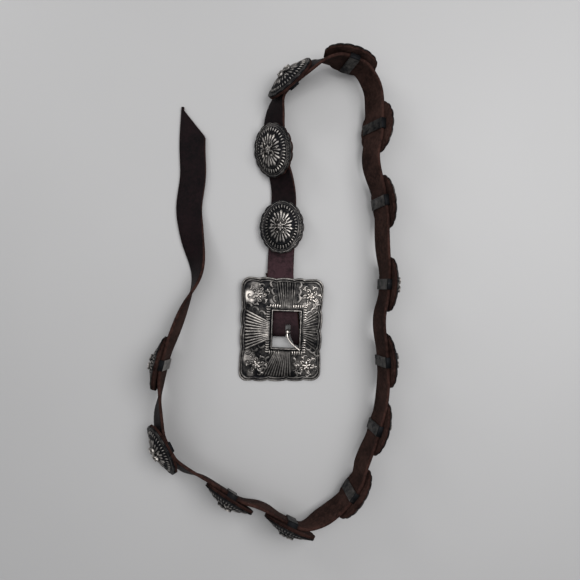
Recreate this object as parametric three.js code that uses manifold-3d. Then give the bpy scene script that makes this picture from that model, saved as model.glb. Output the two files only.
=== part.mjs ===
// Concho belt lying on a table: leather strap, rectangular buckle with a prong, and fourteen oval conchos.
// Millimetres, +Z up, +Y towards the free end of the strap, +X to the side where the strap stands on edge.
import * as THREE from 'three';
import { mergeVertices } from 'three/addons/utils/BufferGeometryUtils.js';
import Module from 'manifold-3d';

const wasm = await Module();
wasm.setup();

// Lay-out and strap
const layWidth = 214;
const layLength = 422;
const strapWidth = 22;
const strapThickness = 2.4;
const gap = 0.3;
const samplesPerRow = 4;
const tipCutLength = 24.5;
const tipBluntShare = 0.1;

// Conchos and their backings
const conchoLength = 44.6;
const conchoWidth = 37.6;
const scallopCount = 16;
const scallopDepth = 0.8;
const shellThickness = 1;
const rimBand = 3.4;
const domeHeight = 5.4;
const backingThickness = 1.8;
const loopLength = 8.5;
const loopThickness = 0.9;
const loopClearance = 0.4;
const seatReach = 14;
const flowerRadius = 4.6;
const flowerHeight = 1.7;
const ballRadius = 1.6;

// Buckle and prong
const buckleWidth = 69;
const buckleLength = 88;
const buckleTurn = -2.3;
const buckleDome = 5.5;
const plateThickness = 1.5;
const cornerRadius = 7.5;
const lobeDepth = 1.3;
const lowerEdgeSkew = 0.045;
const outlineSamples = 720;
const longLobeShare = 1 / 6;
const buckleRimWidth = 4.2;
const buckleRimRise = 0.7;
const openingWidth = 22.2;
const openingLength = 30.4;
const openingShift = 4.3;
const openingRise = 0.9;
const frameWidth = 2.2;
const frameRise = 1.1;
const barRadius = 1.3;
const barHalfLength = 15.6;
const barBelowMiddle = 1.7;
const prongWidth = 1.5;
const prongLoopWidth = 1.9;
const prongLoopWall = 1.5;
const cornerFlowerRadius = 6;
const foldSkew = 6.6;
const foldReturn = 49;
const foldSideShare = 0.38;

// The strap's route: middle line as shares of the lay-out, roll of the outer face from upwards, lift as a
// share of the strap's width, what the strap rests on there, and a concho's turn about the upright.
const route = [
  { at: 'bar', x: -0.0145, y: -0.0865, roll: 0, lift: 0, rests: 'bar' },
  { at: 'under', x: -0.0252, y: -0.028, roll: 0, lift: 0, rests: 'fold' },
  { at: 'edge', x: -0.0379, y: 0.0282, roll: 2, lift: 0, rests: 'fold' },
  { at: 'c01', x: -0.0302, y: 0.125, roll: 8, lift: 0, rests: 'concho' },
  { at: 'm01', x: -0.0269, y: 0.2014, roll: 30, lift: 0, rests: 'between' },
  { at: 'c02', x: -0.0568, y: 0.2745, roll: 34, lift: 0, rests: 'concho' },
  { at: 'm02', x: -0.0588, y: 0.3467, roll: 48.3, lift: 0, rests: 'between' },
  { at: 'c03', x: 0.0076, y: 0.404, roll: 59, lift: 0, rests: 'concho', turn: -11 },
  { at: 'm03', x: 0.0957, y: 0.432, roll: 66, lift: 0.42, rests: 'between' },
  { at: 'c04', x: 0.2255, y: 0.4335, roll: 96.9, lift: 0.08, rests: 'concho', turn: 5 },
  { at: 'm04', x: 0.316, y: 0.394, roll: 114.7, lift: -0.22, rests: 'between' },
  { at: 'c05', x: 0.3201, y: 0.3136, roll: 121, lift: 0, rests: 'concho' },
  { at: 'm05', x: 0.3062, y: 0.2501, roll: 116.9, lift: 0, rests: 'between' },
  { at: 'c06', x: 0.3423, y: 0.168, roll: 107.1, lift: 0, rests: 'concho' },
  { at: 'm06', x: 0.3501, y: 0.0889, roll: 108, lift: 0, rests: 'between' },
  { at: 'c07', x: 0.3597, y: 0.0111, roll: 99.5, lift: 0, rests: 'concho' },
  { at: 'm07', x: 0.3376, y: -0.0587, roll: 103.4, lift: 0, rests: 'between' },
  { at: 'c08', x: 0.3529, y: -0.1365, roll: 101.8, lift: 0, rests: 'concho' },
  { at: 'm08', x: 0.3501, y: -0.2032, roll: 103.5, lift: 0, rests: 'between' },
  { at: 'c09', x: 0.3231, y: -0.2637, roll: 101, lift: 0, rests: 'concho' },
  { at: 'm09', x: 0.2742, y: -0.3291, roll: 107, lift: 0, rests: 'between' },
  { at: 'c10', x: 0.2293, y: -0.386, roll: 103.2, lift: 0, rests: 'concho' },
  { at: 'm10', x: 0.1206, y: -0.4376, roll: 106, lift: 0, rests: 'between' },
  { at: 'c11', x: 0.0049, y: -0.448, roll: 76, lift: 0, rests: 'concho', turn: -15 },
  { at: 'm11', x: -0.094, y: -0.4195, roll: 80, lift: 0, rests: 'between' },
  { at: 'c12', x: -0.223, y: -0.3958, roll: 72, lift: 0, rests: 'concho', turn: -8 },
  { at: 'm12', x: -0.3942, y: -0.3509, roll: 58.3, lift: 0, rests: 'between' },
  { at: 'c13', x: -0.478, y: -0.3065, roll: 56, lift: 0, rests: 'concho' },
  { at: 'm13', x: -0.5026, y: -0.238, roll: 62, lift: 0, rests: 'between' },
  { at: 'c14', x: -0.4775, y: -0.143, roll: 91, lift: 0, rests: 'concho' },
  { at: 'm14', x: -0.4153, y: -0.044, roll: 94.7, lift: 0.05, rests: 'edge' },
  { at: 't1', x: -0.3585, y: 0.033, roll: 58.6, lift: 0, rests: 'edge' },
  { at: 't2', x: -0.3843, y: 0.108, roll: 20, lift: 0, rests: 'edge' },
  { at: 't3', x: -0.399, y: 0.165, roll: 4.4, lift: 0, rests: 'edge' },
  { at: 't4', x: -0.3829, y: 0.228, roll: 4.3, lift: 0, rests: 'edge' },
  { at: 't5', x: -0.386, y: 0.293, roll: 3, lift: 0, rests: 'edge' },
  { at: 't6', x: -0.3778, y: 0.3655, roll: 2, lift: 0, rests: 'edge' },
];

// Notches between the lobes of the buckle's outline, as shares of the half width and half length.
const buckleNotches = [
  { x: -1, y: 0.4 },
  { x: -1, y: 0.05 },
  { x: -1, y: -0.39 },
  { x: -0.66, y: -1 },
  { x: -0.29, y: -1 },
  { x: 0.18, y: -1 },
  { x: 0.61, y: -1 },
  { x: 1, y: -0.4 },
  { x: 1, y: 0 },
  { x: 1, y: 0.4 },
  { x: 0.55, y: 1 },
  { x: 0.3, y: 1 },
  { x: -0.17, y: 1 },
  { x: -0.58, y: 1 },
];

// Middles of the applied corner flowers, as shares of the half width and half length.
const cornerFlowers = [
  { x: -0.59, y: 0.67 },
  { x: 0.72, y: 0.66 },
  { x: -0.56, y: -0.69 },
  { x: 0.68, y: -0.67 },
];

// The prong's middle line from loop to tip: shares of the way to the right, along the strap and upwards.
const prongLine = [
  { right: 0, along: 0.1, rise: 0.3 },
  { right: 0.03, along: 0.28, rise: 0.42 },
  { right: 0.33, along: 0.61, rise: 0.72 },
  { right: 0.86, along: 0.93, rise: 0.97 },
  { right: 1, along: 1, rise: 1 },
];

// The slot in the strap for the prong, as shares of the strap's width: to the right of the strap's middle,
// and along the strap from the bar.
const slotOutline = [
  { right: -0.023, along: 0.295 },
  { right: 0.164, along: 0.295 },
  { right: 0.164, along: 0 },
  { right: 0.182, along: -0.182 },
  { right: 0.282, along: -0.364 },
  { right: 0.345, along: -0.545 },
  { right: 0.345, along: -0.818 },
  { right: -0.023, along: -0.818 },
];

const up = new THREE.Vector3(0, 0, 1);
const radians = THREE.MathUtils.degToRad;

// Solids and surfaces

function solidOf(geometry) {
  const bare = geometry.clone();
  bare.deleteAttribute('normal');
  bare.deleteAttribute('uv');
  const merged = mergeVertices(bare, 1e-4);
  return new wasm.Manifold(new wasm.Mesh({
    numProp: 3,
    vertProperties: new Float32Array(merged.attributes.position.array),
    triVerts: new Uint32Array(merged.index.array),
  }));
}

function geometryOf(solid) {
  const mesh = solid.getMesh();
  const positions = new Float32Array(mesh.numVert * 3);
  for (let i = 0; i < mesh.numVert; i++) {
    positions.set(mesh.vertProperties.subarray(i * mesh.numProp, i * mesh.numProp + 3), i * 3);
  }
  const geometry = new THREE.BufferGeometry();
  geometry.setAttribute('position', new THREE.BufferAttribute(positions, 3));
  geometry.setIndex(Array.from(mesh.triVerts));
  geometry.computeVertexNormals();
  return geometry;
}

function joined(geometries) {
  return geometries.map(solidOf).reduce((whole, piece) => whole.add(piece));
}

// Closed surface over rings of points. A ring of one point is a pole, and a ring may have twice the points
// of its neighbour.
function surfaceOver(rings, endless) {
  const points = [];
  const starts = rings.map((ring) => {
    const start = points.length;
    points.push(...ring);
    return start;
  });
  const faces = [];
  const corner = (k, i) => starts[k] + (i % rings[k].length);
  const count = endless ? rings.length : rings.length - 1;
  for (let k = 0; k < count; k++) {
    const next = (k + 1) % rings.length;
    const many = Math.max(rings[k].length, rings[next].length);
    const stepA = rings[k].length / many;
    const stepB = rings[next].length / many;
    for (let i = 0; i < many; i++) {
      const a = corner(k, Math.floor(i * stepA));
      const b = corner(k, Math.floor((i + 1) * stepA));
      const c = corner(next, Math.floor((i + 1) * stepB));
      const d = corner(next, Math.floor(i * stepB));
      if (a !== b) {
        faces.push(a, b, c);
      }
      if (c !== d) {
        faces.push(a, c, d);
      }
    }
  }
  const geometry = new THREE.BufferGeometry().setFromPoints(points);
  geometry.setIndex(faces);
  return turnedOut(geometry);
}

// The same surface with its faces pointing outwards.
function turnedOut(geometry) {
  const position = geometry.attributes.position;
  const index = geometry.index.array;
  const [a, b, c] = [new THREE.Vector3(), new THREE.Vector3(), new THREE.Vector3()];
  let volume = 0;
  for (let i = 0; i < index.length; i += 3) {
    a.fromBufferAttribute(position, index[i]);
    b.fromBufferAttribute(position, index[i + 1]);
    c.fromBufferAttribute(position, index[i + 2]);
    volume += a.dot(b.cross(c));
  }
  if (volume < 0) {
    for (let i = 0; i < index.length; i += 3) {
      [index[i + 1], index[i + 2]] = [index[i + 2], index[i + 1]];
    }
  }
  geometry.computeVertexNormals();
  return geometry;
}

function prism(outline, depth, holes = []) {
  const shape = new THREE.Shape(outline.map(([x, y]) => new THREE.Vector2(x, y)));
  holes.forEach((hole) => shape.holes.push(new THREE.Path(hole.map(([x, y]) => new THREE.Vector2(x, y)))));
  return new THREE.ExtrudeGeometry(shape, { depth, bevelEnabled: false, curveSegments: 8 });
}

function starOutline(radius, petals) {
  const outline = [];
  for (let i = 0; i < petals * 2; i++) {
    const reach = i % 2 ? radius * 0.5 : radius;
    const angle = (i * Math.PI) / petals;
    outline.push([reach * Math.cos(angle), reach * Math.sin(angle)]);
  }
  return outline;
}

function ring(radius, segments) {
  return Array.from({ length: segments }, (_, i) => {
    const angle = (i * 2 * Math.PI) / segments;
    return [radius * Math.cos(angle), radius * Math.sin(angle)];
  });
}

// Concho: x along the belt, y across it, z outwards from the back of the rim

const rimPoints = scallopCount * 2;
const seatOffset = strapThickness / 2 + gap + backingThickness + gap;
const loopInner = strapWidth / 2 + loopClearance;
const loopBack = -(seatOffset + strapThickness / 2 + loopClearance);

function rimOutline(inset) {
  return Array.from({ length: rimPoints }, (_, i) => {
    const angle = (i * 2 * Math.PI) / rimPoints;
    const drop = inset + (i % 2 ? scallopDepth : 0);
    return [(conchoLength / 2 - drop) * Math.cos(angle), (conchoWidth / 2 - drop) * Math.sin(angle)];
  });
}

const domeHalfLength = conchoLength / 2 - rimBand;
const domeHalfWidth = conchoWidth / 2 - rimBand;

function domeRing(share, segments, inset, lift) {
  const height = lift + domeHeight * (1 - share * share);
  return ring(1, segments).map(([x, y]) => new THREE.Vector3(
    (domeHalfLength - inset) * share * x,
    (domeHalfWidth - inset) * share * y,
    height,
  ));
}

function domeTop(x, y) {
  const share = Math.min(1, Math.hypot(x / domeHalfLength, y / domeHalfWidth));
  return shellThickness + domeHeight * (1 - share * share);
}

function conchoShell() {
  const flat = (outline, z) => outline.map(([x, y]) => new THREE.Vector3(x, y, z));
  return surfaceOver([
    [new THREE.Vector3(0, 0, domeHeight)],
    domeRing(0.6, rimPoints / 2, 0, 0),
    domeRing(1, rimPoints / 2, 0.4, 0),
    flat(rimOutline(0), 0),
    flat(rimOutline(0), shellThickness),
    domeRing(1, rimPoints, 0, shellThickness),
    domeRing(0.6, rimPoints / 2, 0, shellThickness),
    [new THREE.Vector3(0, 0, shellThickness + domeHeight)],
  ], false);
}

function conchoLoop() {
  const outer = loopInner + loopThickness;
  const legTop = domeTop(loopLength / 2, outer) - shellThickness * 0.4;
  const outline = [
    [-outer, loopBack - loopThickness],
    [outer, loopBack - loopThickness],
    [outer, legTop],
    [loopInner, legTop],
    [loopInner, loopBack],
    [-loopInner, loopBack],
    [-loopInner, legTop],
    [-outer, legTop],
  ];
  const loop = prism(outline, loopLength);
  loop.rotateX(Math.PI / 2);
  loop.rotateZ(Math.PI / 2);
  loop.translate(-loopLength / 2, 0, 0);
  return loop;
}

function conchoFlower() {
  const top = shellThickness + domeHeight;
  const star = prism(starOutline(flowerRadius, 6), flowerHeight + shellThickness * 0.7);
  star.translate(0, 0, top - shellThickness * 0.7);
  const places = [
    { x: 0, y: 0, z: top + flowerHeight },
    { x: flowerRadius * 1.5, y: 0 },
    { x: -flowerRadius * 1.5, y: 0 },
  ];
  return [star, ...places.map(({ x, y, z }) => {
    const ball = new THREE.OctahedronGeometry(ballRadius);
    ball.translate(x, y, z ?? domeTop(x, y) + ballRadius * 0.35);
    return ball;
  })];
}

function backingBody() {
  const half = loopLength / 2 + gap;
  const near = loopInner - gap;
  const far = loopInner + loopThickness + gap;
  const corners = [[-half, near], [half, near], [half, far], [-half, far]];
  const slot = (side) => corners.map(([x, y]) => [x, side * y]);
  const body = prism(rimOutline(0), backingThickness, [slot(1), slot(-1)]);
  body.translate(0, 0, -gap - backingThickness);
  return body;
}

const conchoGeometry = geometryOf(joined([conchoShell(), conchoLoop(), ...conchoFlower()]));
const backingGeometry = backingBody();

// Buckle: x to the right, y from the lower edge upwards, z outwards from the back of the rim

const halfWidth = buckleWidth / 2;
const halfLength = buckleLength / 2;
const openingMiddle = new THREE.Vector2(openingShift, halfLength + openingRise);
const stackHeight = 2 * strapThickness + 3 * gap;
const buckleTilt = Math.asin(stackHeight / buckleLength);
const barAlong = halfLength - barBelowMiddle;
const barHeight = strapThickness + gap + barRadius;
const barLocalHeight = (barHeight - barAlong * Math.sin(buckleTilt)) / Math.cos(buckleTilt);

const buckleFrame = new THREE.Matrix4().makeTranslation(-0.0353 * layWidth, -0.079 * layLength, 0)
  .multiply(new THREE.Matrix4().makeRotationZ(radians(buckleTurn)))
  .multiply(new THREE.Matrix4().makeTranslation(0, -halfLength, 0))
  .multiply(new THREE.Matrix4().makeRotationX(buckleTilt));

function domeOver(x, y) {
  const shareX = Math.min(1, Math.abs(x) / (halfWidth - buckleRimWidth));
  const shareY = Math.min(1, Math.abs(y - halfLength) / (halfLength - buckleRimWidth));
  return buckleDome * (1 - shareX * shareX) * (1 - shareY * shareY);
}

// Where a ray from the middle of the opening leaves a rectangle around it.
function rayToRectangle(angle, halfX, halfY) {
  const [c, s] = [Math.cos(angle), Math.sin(angle)];
  const reach = Math.min(halfX / Math.max(1e-9, Math.abs(c)), halfY / Math.max(1e-9, Math.abs(s)));
  return new THREE.Vector2(openingMiddle.x + reach * c, openingMiddle.y + reach * s);
}

// The buckle's rounded rectangle, walked round from the middle of its right side.
function roundedRectangle() {
  const path = new THREE.Path();
  const [w, h, r] = [halfWidth, halfLength, cornerRadius];
  path.moveTo(w, h);
  path.lineTo(w, 2 * h - r);
  path.absarc(w - r, 2 * h - r, r, 0, Math.PI / 2, false);
  path.lineTo(-w + r, 2 * h);
  path.absarc(-w + r, 2 * h - r, r, Math.PI / 2, Math.PI, false);
  path.lineTo(-w, r);
  path.absarc(-w + r, r, r, Math.PI, Math.PI * 1.5, false);
  path.lineTo(w - r, 0);
  path.absarc(w - r, r, r, Math.PI * 1.5, Math.PI * 2, false);
  path.lineTo(w, h);
  return path;
}

// Outline with lobes: points go inwards towards each notch, and the lower edge is a little askew.
function lobedOutline(pointsPerLobe) {
  const path = roundedRectangle();
  const fine = path.getSpacedPoints(outlineSamples).slice(0, -1);
  const nearest = (notch) => {
    const place = new THREE.Vector2(notch.x * halfWidth, halfLength + notch.y * halfLength);
    return fine.reduce((best, p, i) => (p.distanceTo(place) < fine[best].distanceTo(place) ? i : best), 0);
  };
  const notches = buckleNotches.map(nearest).sort((a, b) => a - b);
  const outline = [];
  notches.forEach((from, k) => {
    const to = k + 1 < notches.length ? notches[k + 1] : notches[0] + fine.length;
    const isLong = to - from > outlineSamples * longLobeShare;
    const points = isLong ? pointsPerLobe + 3 : pointsPerLobe;
    for (let i = 0; i < points; i++) {
      const share = i / points;
      const base = fine[Math.round(from + share * (to - from)) % fine.length];
      const towards = new THREE.Vector2(0, halfLength).sub(base).normalize();
      const drop = lobeDepth * (1 - Math.pow(Math.sin(Math.PI * share), 0.6));
      const point = base.clone().addScaledVector(towards, drop);
      point.y += lowerEdgeSkew * point.x * Math.pow(1 - point.y / buckleLength, 2);
      outline.push(point);
    }
  });
  return outline;
}

function bucklePlate() {
  const outline = lobedOutline(4);
  const corners = [[1, 1], [-1, 1], [-1, -1], [1, -1]];
  const [innerX, innerY] = [openingWidth / 2, openingLength / 2];
  corners.forEach(([sx, sy]) => {
    const target = Math.atan2(sy * innerY, sx * innerX);
    const off = (p) => {
      const angle = Math.atan2(p.y - openingMiddle.y, p.x - openingMiddle.x);
      return Math.abs(Math.atan2(Math.sin(angle - target), Math.cos(angle - target)));
    };
    const best = outline.reduce((b, p, i) => (off(p) < off(outline[b]) ? i : b), 0);
    outline[best].cornerAngle = target;
  });
  const angleOf = (p) => Math.atan2(p.y - openingMiddle.y, p.x - openingMiddle.x);
  const angles = outline.map((p) => p.cornerAngle ?? angleOf(p));
  const opening = angles.map((angle) => rayToRectangle(angle, innerX, innerY));
  const frame = angles.map((angle) => rayToRectangle(angle, innerX + frameWidth, innerY + frameWidth));
  const rimInner = outline.map((p) => {
    const inwards = new THREE.Vector2(0, halfLength).sub(p).normalize();
    return p.clone().addScaledVector(inwards, buckleRimWidth);
  });
  const between = (share) => frame.map((p, i) => p.clone().lerp(rimInner[i], share));
  const raisedPoint = (p, rise) => new THREE.Vector3(p.x, p.y, domeOver(p.x, p.y) + rise);
  const raised = (points, rise) => points.map((p) => raisedPoint(p, rise));
  const top = plateThickness;
  const crest = outline.map((p, i) => p.clone().lerp(rimInner[i], 0.45));
  return surfaceOver([
    raised(opening, 0),
    raised(between(0.5), 0),
    raised(rimInner, 0),
    raised(outline, 0),
    raised(outline, top * 0.8),
    raised(crest, top + buckleRimRise),
    raised(rimInner, top * 0.9),
    raised(between(0.5), top),
    raised(frame, top),
    raised(frame, top + frameRise),
    raised(opening, top + frameRise),
  ], true);
}

function buckleBar() {
  const bar = new THREE.CylinderGeometry(barRadius, barRadius, 2 * barHalfLength, 10);
  bar.rotateZ(Math.PI / 2);
  bar.translate(openingShift, barAlong, barLocalHeight);
  const posts = [-1, 1].map((side) => {
    const x = openingShift + side * (barHalfLength - barRadius);
    const topOf = domeOver(x, barAlong) + plateThickness * 0.5;
    const post = new THREE.BoxGeometry(2 * barRadius, 2 * barRadius, topOf - barLocalHeight);
    post.translate(x, barAlong, (topOf + barLocalHeight) / 2);
    return post;
  });
  return [bar, ...posts];
}

function buckleFlowers() {
  return cornerFlowers.flatMap(({ x, y }) => {
    const [px, py] = [x * halfWidth, halfLength + y * halfLength];
    const base = domeOver(px, py) + plateThickness;
    const star = prism(starOutline(cornerFlowerRadius, 6), flowerHeight + 1.1);
    star.translate(px, py, base - 1.1);
    const ball = new THREE.OctahedronGeometry(ballRadius);
    ball.translate(px, py, base + flowerHeight);
    return [star, ball];
  });
}

// Strap

const barMiddle = new THREE.Vector3(openingShift, barAlong, barLocalHeight).applyMatrix4(buckleFrame);
const barRight = new THREE.Vector3(1, 0, 0).transformDirection(buckleFrame);
const barOnward = new THREE.Vector3(-barRight.y, barRight.x, 0);
const foldRadius = barRadius + gap + strapThickness / 2;

const centres = route.map(({ x, y }) => new THREE.Vector3(x * layWidth, y * layLength, 0));
centres[0].copy(barMiddle);
centres[0].z = barMiddle.z + foldRadius;

function blend(values, t) {
  const i = Math.min(Math.floor(t), values.length - 2);
  const f = t - i;
  const at = (k) => {
    if (k < 0) return 2 * values[0] - values[1];
    if (k >= values.length) return 2 * values[values.length - 1] - values[values.length - 2];
    return values[k];
  };
  const [a, b, c, d] = [at(i - 1), at(i), at(i + 1), at(i + 2)];
  const square = 2 * a - 5 * b + 4 * c - d;
  const cube = 3 * b - a - 3 * c + d;
  return 0.5 * (2 * b + (c - a) * f + square * f * f + cube * f * f * f);
}

function middleAt(t) {
  return new THREE.Vector3(
    blend(centres.map((p) => p.x), t),
    blend(centres.map((p) => p.y), t),
    blend(centres.map((p) => p.z), t),
  );
}

// Tangent, across (from the upper edge to the lower one) and outward directions of the strap.
function frameAt(t) {
  const last = route.length - 1;
  const tangent = middleAt(Math.min(last, t + 0.06)).sub(middleAt(Math.max(0, t - 0.06))).normalize();
  const side = new THREE.Vector3(-tangent.y, tangent.x, 0).normalize();
  const lift = new THREE.Vector3().crossVectors(tangent, side);
  const roll = radians(blend(route.map((row) => row.roll), t));
  const across = side.clone().multiplyScalar(Math.cos(roll)).addScaledVector(lift, -Math.sin(roll));
  if (t < 1) across.lerp(barRight.clone().negate(), (1 - t) * (1 - t)).normalize();
  const outward = new THREE.Vector3().crossVectors(tangent, across).normalize();
  const turn = radians(blend(route.map((row) => row.turn ?? 0), t));
  [tangent, across, outward].forEach((direction) => direction.applyAxisAngle(up, turn));
  return { tangent, across, outward };
}

function conchoMatrix(row) {
  const { tangent, across, outward } = frameAt(row);
  const place = middleAt(row).addScaledVector(outward, seatOffset);
  return new THREE.Matrix4().makeBasis(tangent, across, outward).setPosition(place);
}

function lowestOf(geometry, matrix) {
  const point = new THREE.Vector3();
  let lowest = Infinity;
  for (let i = 0; i < geometry.attributes.position.count; i++) {
    point.fromBufferAttribute(geometry.attributes.position, i).applyMatrix4(matrix);
    lowest = Math.min(lowest, point.z);
  }
  return lowest;
}

// Heights: each concho comes down to the table, and the strap follows from one to the next.
function settleHeights() {
  const edgeHeight = (roll) => {
    return (strapWidth * Math.abs(Math.sin(roll)) + strapThickness * Math.cos(roll)) / 2;
  };
  route.forEach((row, i) => {
    if (row.rests === 'fold') centres[i].z = strapThickness * 1.5 + gap * 1.5;
    if (row.rests === 'edge') centres[i].z = edgeHeight(radians(row.roll)) + row.lift * strapWidth;
    if (row.rests === 'concho') centres[i].z = strapWidth * 0.8;
  });
  for (let pass = 0; pass < 6; pass++) {
    route.forEach((row, i) => {
      if (row.rests !== 'between') return;
      centres[i].z = (centres[i - 1].z + centres[i + 1].z) / 2 + row.lift * strapWidth;
    });
    route.forEach((row, i) => {
      if (row.rests !== 'concho') return;
      const matrix = conchoMatrix(i);
      const lowest = Math.min(lowestOf(conchoGeometry, matrix), lowestOf(backingGeometry, matrix));
      centres[i].z -= lowest - row.lift * strapWidth;
    });
  }
}
settleHeights();

const conchoRows = route.map((row, i) => i).filter((i) => route[i].rests === 'concho');
const seats = conchoRows.map((i) => ({ middle: middleAt(i), ...frameAt(i) }));

// The strap lies flat against each backing: near a loop it follows the seat, and further out it only stays
// behind the backing.
function pressedToSeat(point, sideSign) {
  [...seats, ...seats].forEach((seat) => {
    const from = point.clone().sub(seat.middle);
    const u = Math.abs(from.dot(seat.tangent));
    const v = from.dot(seat.across);
    const w = from.dot(seat.outward);
    if (u > conchoLength / 2 + seatReach || Math.abs(v) > conchoWidth / 2) return;
    if (Math.abs(w) > strapWidth / 2) return;
    const hold = 1 - THREE.MathUtils.smoothstep(u, loopLength * 0.75, loopLength * 2.1);
    const free = Math.max(0, u - conchoLength / 2 - seatReach * 0.65) * 0.45;
    const away = w > free ? free - w : -w * hold;
    point.addScaledVector(seat.outward, away);
    point.addScaledVector(seat.across, ((sideSign * strapWidth) / 2 - v) * hold);
  });
  return point;
}

// A section of the strap: four corners from its upper and lower edge on the middle surface.
function sectionOf(upper, lower, tangent) {
  const across = lower.clone().sub(upper).normalize();
  const outward = new THREE.Vector3().crossVectors(tangent, across).setLength(strapThickness / 2);
  return [
    upper.clone().add(outward),
    lower.clone().add(outward),
    lower.clone().sub(outward),
    upper.clone().sub(outward),
  ];
}

function foldSections() {
  const sections = [];
  const halfSpan = barRight.clone().multiplyScalar(strapWidth / 2);
  const steps = 5;
  for (let i = steps; i >= 1; i--) {
    const share = i / steps;
    const middle = barMiddle.clone().addScaledVector(barOnward, foldReturn * share);
    middle.addScaledVector(barRight, -foldSideShare * strapWidth * share * share);
    middle.z = strapThickness / 2;
    const right = middle.clone().add(halfSpan);
    sections.push(sectionOf(right, middle.clone().sub(halfSpan), barOnward.clone().negate()));
  }
  const arcSteps = 8;
  for (let i = 0; i < arcSteps; i++) {
    const angle = -Math.PI / 2 + (i * Math.PI) / arcSteps;
    const inwards = foldRadius * Math.cos(angle);
    const middle = barMiddle.clone().addScaledVector(barOnward, -inwards);
    middle.addScaledVector(up, foldRadius * Math.sin(angle));
    const tangent = barOnward.clone().multiplyScalar(Math.sin(angle)).addScaledVector(up, Math.cos(angle));
    const right = middle.clone().add(halfSpan).addScaledVector(barOnward, -foldSkew * Math.cos(angle));
    sections.push(sectionOf(right, middle.clone().sub(halfSpan), tangent));
  }
  return sections;
}

function routeSections() {
  const sections = [];
  const last = route.length - 1;
  const samples = last * samplesPerRow;
  const tip = middleAt(last);
  for (let i = 0; i <= samples; i++) {
    const t = i / samplesPerRow;
    const { tangent, across } = frameAt(t);
    const middle = middleAt(t);
    let upper = middle.clone().addScaledVector(across, -strapWidth / 2);
    let lower = middle.clone().addScaledVector(across, strapWidth / 2);
    upper = pressedToSeat(upper, -1);
    lower = pressedToSeat(lower, 1);
    const fromTip = tip.distanceTo(middle);
    if (t > last - 3 && fromTip < tipCutLength) {
      upper.lerp(lower, 1 - Math.max(tipBluntShare, fromTip / tipCutLength));
    }
    const section = sectionOf(upper, lower, tangent);
    const lowest = Math.min(...section.map((p) => p.z));
    if (lowest < 0) section.forEach((p) => p.setZ(p.z - lowest));
    sections.push(section);
  }
  return sections;
}

function strapSolid() {
  const sections = [...foldSections(), ...routeSections()];
  const ends = [sections[0], sections[sections.length - 1]].map((section) => {
    const middle = new THREE.Vector3();
    section.forEach((p) => middle.addScaledVector(p, 0.25));
    return [middle];
  });
  const strip = solidOf(surfaceOver([ends[0], ...sections, ends[1]], false));
  const outline = slotOutline.map(({ right, along }) => [right * strapWidth, along * strapWidth]);
  const slot = prism(outline, strapWidth);
  slot.translate(0, 0, -strapThickness);
  slot.applyMatrix4(new THREE.Matrix4().makeBasis(barRight, barOnward, up)
    .setPosition(new THREE.Vector3(barMiddle.x, barMiddle.y, 0)));
  return strip.subtract(solidOf(slot));
}

// Prong

const prongRight = 1.1;
const prongOverlap = 1.3;

// The prong's tip as seen from the middle of its loop: it lies on the frame's lower right inner corner.
const frameCorner = new THREE.Vector3(
  openingMiddle.x + openingWidth / 2,
  openingMiddle.y - openingLength / 2,
  0,
);
frameCorner.z = domeOver(frameCorner.x, frameCorner.y) + plateThickness + frameRise;
frameCorner.applyMatrix4(buckleFrame);
const toCorner = frameCorner.clone().sub(barMiddle);
const prongTip = new THREE.Vector3(
  toCorner.dot(barRight) - prongRight + prongOverlap * 0.6,
  toCorner.dot(barOnward) - prongOverlap,
  toCorner.z + gap + prongWidth * 0.7,
);

function prongSolid() {
  const hole = ring((barRadius + gap) / Math.cos(Math.PI / 12), 12);
  const loop = prism(ring(barRadius + prongLoopWall, 12), prongLoopWidth, [hole]);
  loop.rotateY(Math.PI / 2);
  loop.translate(-prongLoopWidth / 2, 0, 0);
  const line = new THREE.CatmullRomCurve3(
    prongLine.map(({ right, along, rise }) => new THREE.Vector3(
      right * prongTip.x,
      along * prongTip.y,
      rise * prongTip.z,
    )),
  );
  const shank = new THREE.ExtrudeGeometry(
    new THREE.Shape(ring(prongWidth / 2, 6).map(([x, y]) => new THREE.Vector2(x, y))),
    { steps: 7, extrudePath: line, bevelEnabled: false },
  );
  return joined([loop, shank]);
}

const prongMatrix = new THREE.Matrix4().makeBasis(barRight, barOnward, up)
  .setPosition(barMiddle.clone().addScaledVector(barRight, prongRight));

// Assembly

const finishes = {
  silver: { color: 0x8b8680, metalness: 0.9, roughness: 0.35 },
  leather: { color: 0x2a1b1a, metalness: 0, roughness: 0.7 },
  backing: { color: 0x3a2620, metalness: 0, roughness: 0.8 },
};

const belt = new THREE.Group();

function addNode(name, geometry, finish, matrix) {
  const mesh = new THREE.Mesh(geometry, new THREE.MeshStandardMaterial(finishes[finish]));
  mesh.name = name;
  if (matrix) mesh.applyMatrix4(matrix);
  belt.add(mesh);
}

addNode('strap', geometryOf(strapSolid()), 'leather');
const buckleGeometry = geometryOf(joined([bucklePlate(), ...buckleBar(), ...buckleFlowers()]));
addNode('buckle', buckleGeometry, 'silver', buckleFrame);
addNode('prong', geometryOf(prongSolid()), 'silver', prongMatrix);
conchoRows.forEach((row, k) => {
  const number = String(k + 1).padStart(2, '0');
  addNode(`concho_${number}`, conchoGeometry, 'silver', conchoMatrix(row));
  addNode(`backing_${number}`, backingGeometry, 'backing', conchoMatrix(row));
});

// The origin is the middle of the underside of the box around the whole belt.
belt.updateMatrixWorld(true);
const box = new THREE.Box3().setFromObject(belt, true);
belt.position.set(-(box.min.x + box.max.x) / 2, -(box.min.y + box.max.y) / 2, -box.min.z);

export default belt;
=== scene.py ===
# Concho belt lying on a pale table: leather strap, silver buckle with its prong, fourteen conchos on leather
# backings. Forms are worked out in millimetres and placed in the frame, which is in metres.
import math
import bmesh
import bpy
import numpy as np
from mathutils import Matrix, Vector


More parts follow.
